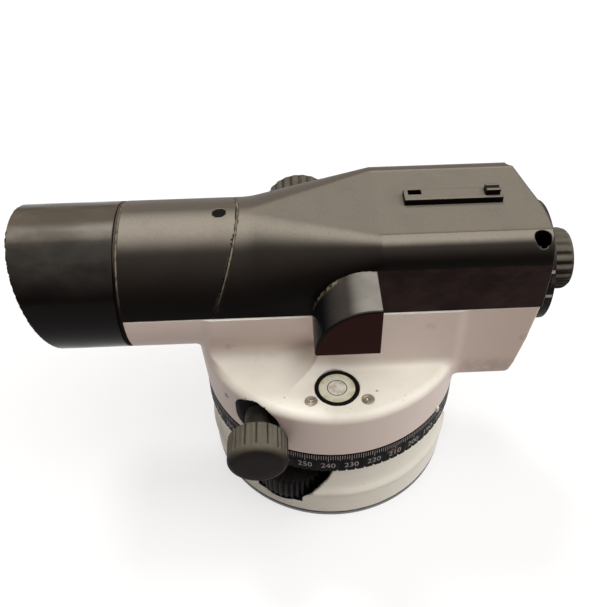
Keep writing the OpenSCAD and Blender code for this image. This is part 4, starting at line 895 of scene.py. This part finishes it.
def screw_head(name, x, y, z, radius, body, slot, *nodes, finish=None):
    """A countersunk head with a cross recess, its top at z."""
    arm = radius * 0.45

    def field(px, py, pz):
        u, v, w = px - x, py - y, pz - z
        head = common(rod(u, v, radius), w, 0.2)
        head = common(head, -1.2 - w, 0.1)
        rim = np.abs(np.hypot(u, v) - radius * 0.62) - 0.12
        head = cut(head, np.maximum(rim, -0.1 - w), 0.05)
        depth = 0.95 - 0.5 * np.hypot(u, v) / radius
        arms = np.minimum(np.maximum(np.abs(u) - 0.3, np.abs(v) - arm),
                          np.maximum(np.abs(v) - 0.3, np.abs(u) - arm))
        return cut(head, np.maximum(arms, -depth - w), 0.08)
    reach = radius + 0.3
    piece = skin(name, field, (x - reach, y - reach, z - 1.5), (x + reach, y + reach, z + 0.3), 0.13)
    return dress(piece, body, slot, *nodes, finish=finish)


def circular_level():
    z = DRUM_TOP_Z
    cup = eased([(VIAL_R + 0.05, z - 5.5), (VIAL_R + 0.05, z + 0.18, 0.12), (VIAL_R + 0.35, z + 0.3, 0.1),
                 (LEVEL_R - 0.3, z + 0.3, 0.25), (LEVEL_R, z + 0.05, 0.15), (LEVEL_R, z - 5.5)], 4)
    ring = spun("level_ring", cup, 128, upright(LEVEL_X, LEVEL_Y, 0))
    dress(ring, "alidade", "gloss_black", "bubble_holder", finish=RING_BLACK)
    top = z - 0.02
    glass = [(0, top + 0.06), (2.2, top + 0.05), (3.2, top + 0.02), (3.4, top), (5.6, top), (6.4, top - 0.02),
             (VIAL_R, top - 0.14), (VIAL_R, z - 4), (0, z - 4)]
    vial = spun("level_glass", np.array(glass), 128, upright(LEVEL_X, LEVEL_Y, 0), ring=False)
    dress(vial, "alidade", "bubble_glass", "bubble_vial")
    mark = eased([(3.42, top - 0.1), (3.42, top + 0.05, 0.02), (3.72, top + 0.05, 0.02),
                  (3.72, top - 0.1)], 2)
    line = spun("level_mark", mark, 128, upright(LEVEL_X, LEVEL_Y, 0))
    dress(line, "alidade", "satin_black")
    for k, (x, y) in enumerate(LEVEL_SCREWS):
        nodes = ("bubble_screws",) if k == 0 else ()
        screw_head(f"level_screw_{k + 1}", x, y, z - 0.1, 2.3, "alidade", "nickel", *nodes)


def mirror_outline(x, z, inset):
    arc = rod(x - MIRROR_FRONT - MIRROR_R, np.maximum(z - SPLIT_Z, 0), MIRROR_R - inset)
    front = MIRROR_FRONT + inset - x
    top = z - SPLIT_Z - MIRROR_R + inset
    return np.where(x < MIRROR_FRONT + MIRROR_R, np.maximum(arc, front), top)


def mirror_housing_field(x, y, z):
    body = common(mirror_outline(x, z, 0), MIRROR_Y - y, 1.0)
    body = np.maximum(body, y + TUBE_R - 0.6)
    body = common(body, x - MIRROR_REAR, 0.4)
    body = common(body, SPLIT_Z - z, 0.3)
    inner = np.maximum(mirror_outline(x, z, 1.6), MIRROR_Y + 1.6 - y)
    return cut(body, np.maximum(inner, y + TUBE_R + 1.4), 0.3)


def mirror_housing():
    low, high = (-9.2, -47.4, 94.8), (14.8, -26.4, 116.3)
    piece = skin("mirror_housing_shell", mirror_housing_field, low, high, 0.42, ((), (MIRROR_Y,), (SPLIT_Z,)))
    dress(piece, "alidade", "gloss_black", "mirror_housing")


# Knobs and eyepiece

def tangent_knobs():
    outline = eased([(3.2, 0), (KNOB_R - 0.6, 0, 0.4), (KNOB_R, 0.7, 0.5), (KNOB_R, 10.4, 2.2),
                     (KNOB_R - 1.6, 11.9, 1.6), (6.0, 12.2, 1.5), (0, 12.2)], 6)

    def fluted(radius, along, angle):
        """Narrow deep flutes with a shallow one between each pair."""
        deep = 0.8 * np.abs(np.cos(8 * angle)) ** 22
        shallow = 0.3 * np.abs(np.sin(8 * angle)) ** 9
        reach = smooth(along, 0.1, 0.5) * (1 - smooth(along, 8.2, 10.4)) * (radius > KNOB_R * 0.9)
        return radius - (deep + shallow) * reach, along
    for side, name in ((-1, "tangent_knob_near"), (1, "tangent_knob_far")):
        knob = spun(name, outline, 16 * 24, along_y(WORM_X, side * KNOB_Y, WORM_Z, side), fluted, ring=False)
        dress(knob, "tangent_screw", "knob_grey", *(("tangent_knobs",) if side < 0 else ()))


def focus_knob():
    outline = eased([(5.3, 4), (12.2, 4, 0.3), (12.2, 0), (13.9, 0, 0.3), (14.3, 0.6, 0.3), (14.3, 11.6, 1.0),
                     (13.2, 12.8, 0.8), (6, 13.0, 1.0), (0, 12.9)], 4)
    knob = spun("focus_knob_cap", outline, 24 * 16, along_y(FOCUS_X, 29.08, AXIS_Z, 1),
                grooves(24, 1.0, 4, 0.3, 12.6, 1.2), ring=False)
    dress(knob, "focus_drive", "knob_grey", "focus_knob")


def eyepiece():
    """The round back plate with its two white marks, and the lobed ring that focuses the ocular."""
    plate = eased([(12.2, 0), (21.9, 0, 0.5), (EYE_PLATE_R, 0.7, 0.4), (EYE_PLATE_R, 3.0, 0.4),
                   (21.9, 3.7, 0.5), (12.2, 3.7)], 4)
    flange = spun("eyepiece_plate", plate, 192, along_x(75))
    dress(flange, "alidade", "satin_black")
    lobes = eased([(8.6, 0), (10.9, 0, 0.4), (11.8, 0.9, 0.5), (11.8, 8.6, 1.4), (10.6, 10.7, 1.2),
                   (8.2, 11.0, 0.5), (7.0, 8.2, 0.4), (6.6, 6.2)], 5)

    def lobed(radius, along, angle):
        depth = 0.8 * np.abs(np.cos(9.5 * angle)) ** 3 * (radius > 9.5)
        return radius - depth * smooth(along, 0, 0.8) * (1 - smooth(along, 8.4, 10.9)), along
    ring = spun("eyepiece_dioptre_ring", lobes, 19 * 16, along_x(79.3), lobed)
    dress(ring, "eyepiece_ring", "satin_black", "eyepiece_ring", finish=FINISHES["knob_grey"])
    parts = []
    r = EYE_PLATE_R + 0.03
    for tilt in (61, 85.5):
        middle = radians(90 + tilt)
        angles = middle + np.linspace(-0.6, 0.6, 4) / EYE_PLATE_R
        points = [(x, r * cos(a), AXIS_Z + r * sin(a)) for a in angles for x in (76.3, 77.6, 78.6)]
        faces = [[3 * i + j, 3 * i + j + 1, 3 * i + j + 4, 3 * i + j + 3] for i in range(3) for j in range(2)]
        parts.append((points, faces))
    dress(joined_meshes("eyepiece_marks", parts), "alidade", "satin_black", finish=PRINT_WHITE)


# Base

def tribrach_radius(z):
    return np.interp(z, [2.5, 9, 13.2, 14.8, 15.7, 16.6, 17.8, 19.2, 21, 23.5, 28, 33],
                     [51.25, 51.25, 51.4, 51.8, 52.0, 51.9, 51.45, 50.85, 50.45, 50.3, 50.35, 50.5])


def tribrach_field(x, y, z):
    r = np.hypot(x, y)
    outer = common(r - tribrach_radius(z), SKIRT_Z - z, 0.5)
    outer = common(outer, z - DECK_Z, 0.5)
    hollow = np.maximum(r - tribrach_radius(z) + 2.1, z - 28)
    body = cut(outer, hollow, 0.3)
    hub = np.maximum(np.abs(r - 17.5) - 1.5, np.maximum(14 - z, z - DECK_Z))
    lip = np.maximum(np.abs(r - 12.3) - 3.8, np.maximum(14 - z, z - 17))
    collar = np.maximum(np.abs(r - 18.5) - 1.5, np.maximum(DECK_Z - 1 - z, z - 38))
    body = np.minimum(np.minimum(body, hub), np.minimum(lip, collar))
    for az in FOOT_AZ:
        along = x * cos(az) + y * sin(az)
        across = -x * sin(az) + y * cos(az)
        rib = brick(-along, -across, z, (17, -1.5, 12), (49.5, 1.5, 29), 0.3)
        body = joined(body, np.maximum(rib, r - 49.6), 0.8)
    for az in FOOT_AZ:
        foot = np.hypot(x - FOOT_R * cos(az), y - FOOT_R * sin(az))
        inward = FOOT_R - x * cos(az) - y * sin(az)
        across = np.abs(y * cos(az) - x * sin(az))
        boss = np.maximum(foot - 9, np.maximum(24 - z, z - DECK_Z))
        web = np.maximum(np.maximum(-inward, across - 9), 25 - z)
        sill = np.interp(across, [0, 3.5, 5.5, 7.5, 9.6, 13.3, 16.4, 19.2, 20.6, 21.5, 30],
                         [6.3, 6.8, 7.7, 9.0, 11.0, 14.8, 19, 24, 28.3, 32, 72])
        mouth = np.maximum(np.maximum(0.7 * (sill - z), 46 - r), inward - FOOT_R)
        window = np.minimum(np.maximum(foot - WINDOW_R, WINDOW_Z - z), mouth)
        window = np.maximum(window, -np.minimum(boss, web))
        body = cut(np.minimum(cut(body, window, 0.4), boss), foot - 6.62, 0.2)
    return body


def tribrach():
    piece = skin("tribrach_casting", tribrach_field, (-53, -53, 1.9), (53, 53, 38.6), 0.85,
                 ((), (), (SKIRT_Z, DECK_Z, 8, 24)))
    dress(piece, "tribrach", "cream_paint", "tribrach")


def foot_screws():
    edge = DISC_R - 0.7
    outline = eased([(0, 3.45), (1.7, 3.45, 0.3), (2, 3.9), (2, 7.7), (3.4, 7.7, 0.2), (3.4, 9.3),
                     (edge, 9.3, 0.5), (DISC_R, 10.1, 0.4), (DISC_R, 19.7, 0.5), (edge, 20.5, 0.5), (4, 20.5),
                     (4, 31.2, 0.3), (0, 31.5)], 3)
    for k, az in enumerate(FOOT_AZ):
        place = upright(FOOT_R * cos(az), FOOT_R * sin(az), 0)
        screw = spun(f"foot_screw_knurled_{k + 1}", outline, 40 * 10, place,
                     grooves(40, 0.9, 3, 9.4, 21.0, 0.5), ring=False)
        dress(screw, f"foot_screw_{k + 1}", "screw_black", f"foot_screw_{k + 1}")


def circle_ring():
    """The graduated circle, with a short upright groove every four degrees in its lower edge."""
    outline = eased([(20.06, CIRCLE_Z), (50.3, CIRCLE_Z), (51.3, CIRCLE_Z), (CIRCLE_R, 33.9, 0.2),
                     (CIRCLE_R, 35.4), (CIRCLE_R, 35.9), (CIRCLE_R, 43.9, 0.25), (51.6, CIRCLE_TOP, 0.2),
                     (49.6, CIRCLE_TOP), (49.6, 35.44), (20.06, 35.44)], 3)

    def shape(radius, along, angle):
        wave = np.abs((angle * 90 / tau) % 1 - 0.5) * 2
        notch = np.clip(1 - wave * 4, 0, 1)
        low = (radius > 51) & (along < 35.6)
        edge = (radius > 51) & (along < 34.2)
        return radius - 0.5 * notch * low, along + 0.25 * notch * edge
    ring = spun("graduated_circle", outline, 90 * 12, upright(0, 0, 0), shape)
    dress(ring, "circle", "circle_black", "circle_ring")


def circle_angle(degree):
    """The direction of a figure of the circle; the figures run clockwise seen from above."""
    return radians(235 - degree - 90 + 1.03)


def figure_shapes(text, height, width):
    """Points and faces of a figure from Blender's own font, centred, its foot at 0."""
    curve = bpy.data.curves.new("figure", "FONT")
    curve.body = text
    curve.resolution_u = 3
    holder = bpy.data.objects.new("figure", curve)
    bpy.context.collection.objects.link(holder)
    bpy.context.view_layer.update()
    seen = holder.evaluated_get(bpy.context.evaluated_depsgraph_get())
    mesh = seen.to_mesh()
    points = np.array([v.co[:2] for v in mesh.vertices])
    faces = [list(p.vertices) for p in mesh.polygons]
    seen.to_mesh_clear()
    bpy.data.objects.remove(holder)
    bpy.data.curves.remove(curve)
    low, high = points.min(0), points.max(0)
    points = (points - [(low[0] + high[0]) / 2, low[1]]) / (high - low) * [width, height]
    return points, faces


def graduation():
    """Ticks at each degree under the circle's upper edge, and a figure every ten degrees."""
    r = CIRCLE_R + 0.03
    top = CIRCLE_TOP - 0.12
    parts = []
    for degree in range(360):
        length = 3.9 if degree % 10 == 0 else 3.2 if degree % 5 == 0 else 2.6
        half = 0.11 / r
        a = circle_angle(degree)
        corners = [(a - half, top - length), (a + half, top - length), (a + half, top), (a - half, top)]
        parts.append(([(r * cos(b), r * sin(b), z) for b, z in corners], [[0, 1, 2, 3]]))
    for degree in range(0, 360, 10):
        text = str(degree)
        points, faces = figure_shapes(text, 2.9, 1.85 * len(text))
        a = circle_angle(degree)
        bent = [(r * cos(a + u / r), r * sin(a + u / r), 36.35 + v) for u, v in points]
        parts.append((bent, faces))
    dress(joined_meshes("circle_graduation", parts), "circle", "circle_black", finish=PRINT_WHITE)


def tripod_bush():
    """The threaded bush in the base, with its 5/8 inch thread cut as a helix."""
    pitch = 25.4 / 11
    heights = np.linspace(0.3, 10.7, 105)
    outline = np.array([(7.94, 0), (11.95, 0), (11.95, 11), (7.94, 11)] + [(7.0, h) for h in heights[::-1]])

    def shape(radius, along, angle):
        wave = np.abs((along / pitch - angle / tau) % 1 - 0.5) * 2
        return np.where(radius < 7.5, 6.75 + 1.19 * np.clip(wave * 1.25, 0, 1), radius), along
    bush = spun("tripod_thread_bush", outline, 96, upright(0, 0, 0), shape, sharp=50)
    dress(bush, "base", "brass", "tripod_bush")


# Finishes on the CAD nodes that stay
for part in frame["record"]["subparts"]:
    node = frame["nodes"][part["node"]]
    material = FINISHES[part["material_slot"]].material
    for holder in node.material_slots:
        holder.link = "OBJECT"
        holder.material = material

lower_body()
covers()
seams()
side_panel()
hood()
sight_rail()
circular_level()
mirror_housing()
screw_head("front_cover_screw", FRONT_SCREW_X, 0, AXIS_Z + TUBE_R - 0.08, 2.1, "alidade", "screw_black",
           finish=RING_BLACK)
frame["nodes"]["cover_screws"].material_slots[0].material = RING_BLACK.material
tangent_knobs()
focus_knob()
eyepiece()
tribrach()
foot_screws()
circle_ring()
graduation()
tripod_bush()


# Light, floor and camera

def floor():
    """A white floor for the camera that sends less light back on to the object."""
    mesh = bpy.data.meshes.new("floor")
    half = 4
    corners = [(-half, -half, 0), (half, -half, 0), (half, half, 0), (-half, half, 0)]
    mesh.from_pydata(corners, [], [[0, 1, 2, 3]])
    piece = bpy.data.objects.new("floor", mesh)
    piece.location.z = -0.0002
    bpy.context.collection.objects.link(piece)
    f = Finish("floor", Base_Color=(0.34, 0.29, 0.27, 1), Roughness=0.9, Specular_IOR_Level=0.0)
    lit = Wire(f, f.node("ShaderNodeBsdfDiffuse", {}, {"Color": (1, 1, 1, 1)}).outputs[0])
    plain = Wire(f, f.node("ShaderNodeEmission", {}, {"Color": (1, 1, 1, 1), "Strength": 1.0}).outputs[0])
    white = Wire(f, f.node("ShaderNodeMixShader", {}, {0: 0.62, 1: lit, 2: plain}).outputs[0])
    rays = f.node("ShaderNodeLightPath", {}, {}).outputs
    seen = Wire(f, rays["Is Camera Ray"]) + Wire(f, rays["Is Glossy Ray"])
    seen = seen + Wire(f, rays["Is Transmission Ray"])
    mixed = f.node("ShaderNodeMixShader", {}, {0: seen, 1: Wire(f, f.shader.outputs[0]), 2: white})
    f.tree.links.new(mixed.outputs[0], f.tree.nodes["Material Output"].inputs["Surface"])
    mesh.materials.append(f.material)


def lamp(name, towards, strength, angle, colour):
    """A wide soft lamp that shines from the direction towards."""
    data = bpy.data.lights.new(name, "SUN")
    data.energy = strength
    data.angle = radians(angle)
    data.color = colour
    holder = bpy.data.objects.new(name, data)
    holder.rotation_euler = Vector(towards).to_track_quat("Z", "Y").to_euler()
    bpy.context.collection.objects.link(holder)


def surroundings(colour, strength):
    world = bpy.data.worlds.new("studio")
    world.use_nodes = True
    background = world.node_tree.nodes["Background"]
    background.inputs[0].default_value = (*colour, 1)
    background.inputs[1].default_value = strength
    bpy.context.scene.world = world


def camera():
    """The camera of the photograph: its place, its turn, pitch and roll, and its lens."""
    yaw, pitch, roll = radians(1.366), radians(44.416), radians(-1.206)
    forward = Vector((sin(yaw) * cos(pitch), cos(yaw) * cos(pitch), -sin(pitch)))
    level = Vector((cos(yaw), -sin(yaw), 0))
    rise = level.cross(forward)
    right = cos(roll) * level + sin(roll) * rise
    up = -sin(roll) * level + cos(roll) * rise
    data = bpy.data.cameras.new("camera")
    focal_pixels, picture_pixels, sensor = 762.274, 607, 36
    data.sensor_width = sensor
    data.lens = focal_pixels / picture_pixels * sensor
    data.clip_start = 0.01
    holder = bpy.data.objects.new("camera", data)
    place = Vector((-15.777, -217.418, 287.892)) * MM
    holder.matrix_world = Matrix.Translation(place) @ Matrix((right, up, -forward)).transposed().to_4x4()
    bpy.context.collection.objects.link(holder)
    bpy.context.scene.camera = holder


floor()
lamp("key", (-0.15, 0.46, 0.875), 0.38 * pi, 14, (1, 0.99, 0.96))
lamp("above", (0.22, -0.16, 0.96), 0.63 * pi, 64, (1, 0.99, 0.95))
lamp("right", (0.9, -0.15, 0.42), 0.32 * pi, 50, (1, 1.0, 0.99))
surroundings((1.0, 0.86, 0.84), 0.17)
camera()
bpy.context.scene.view_settings.view_transform = "Standard"
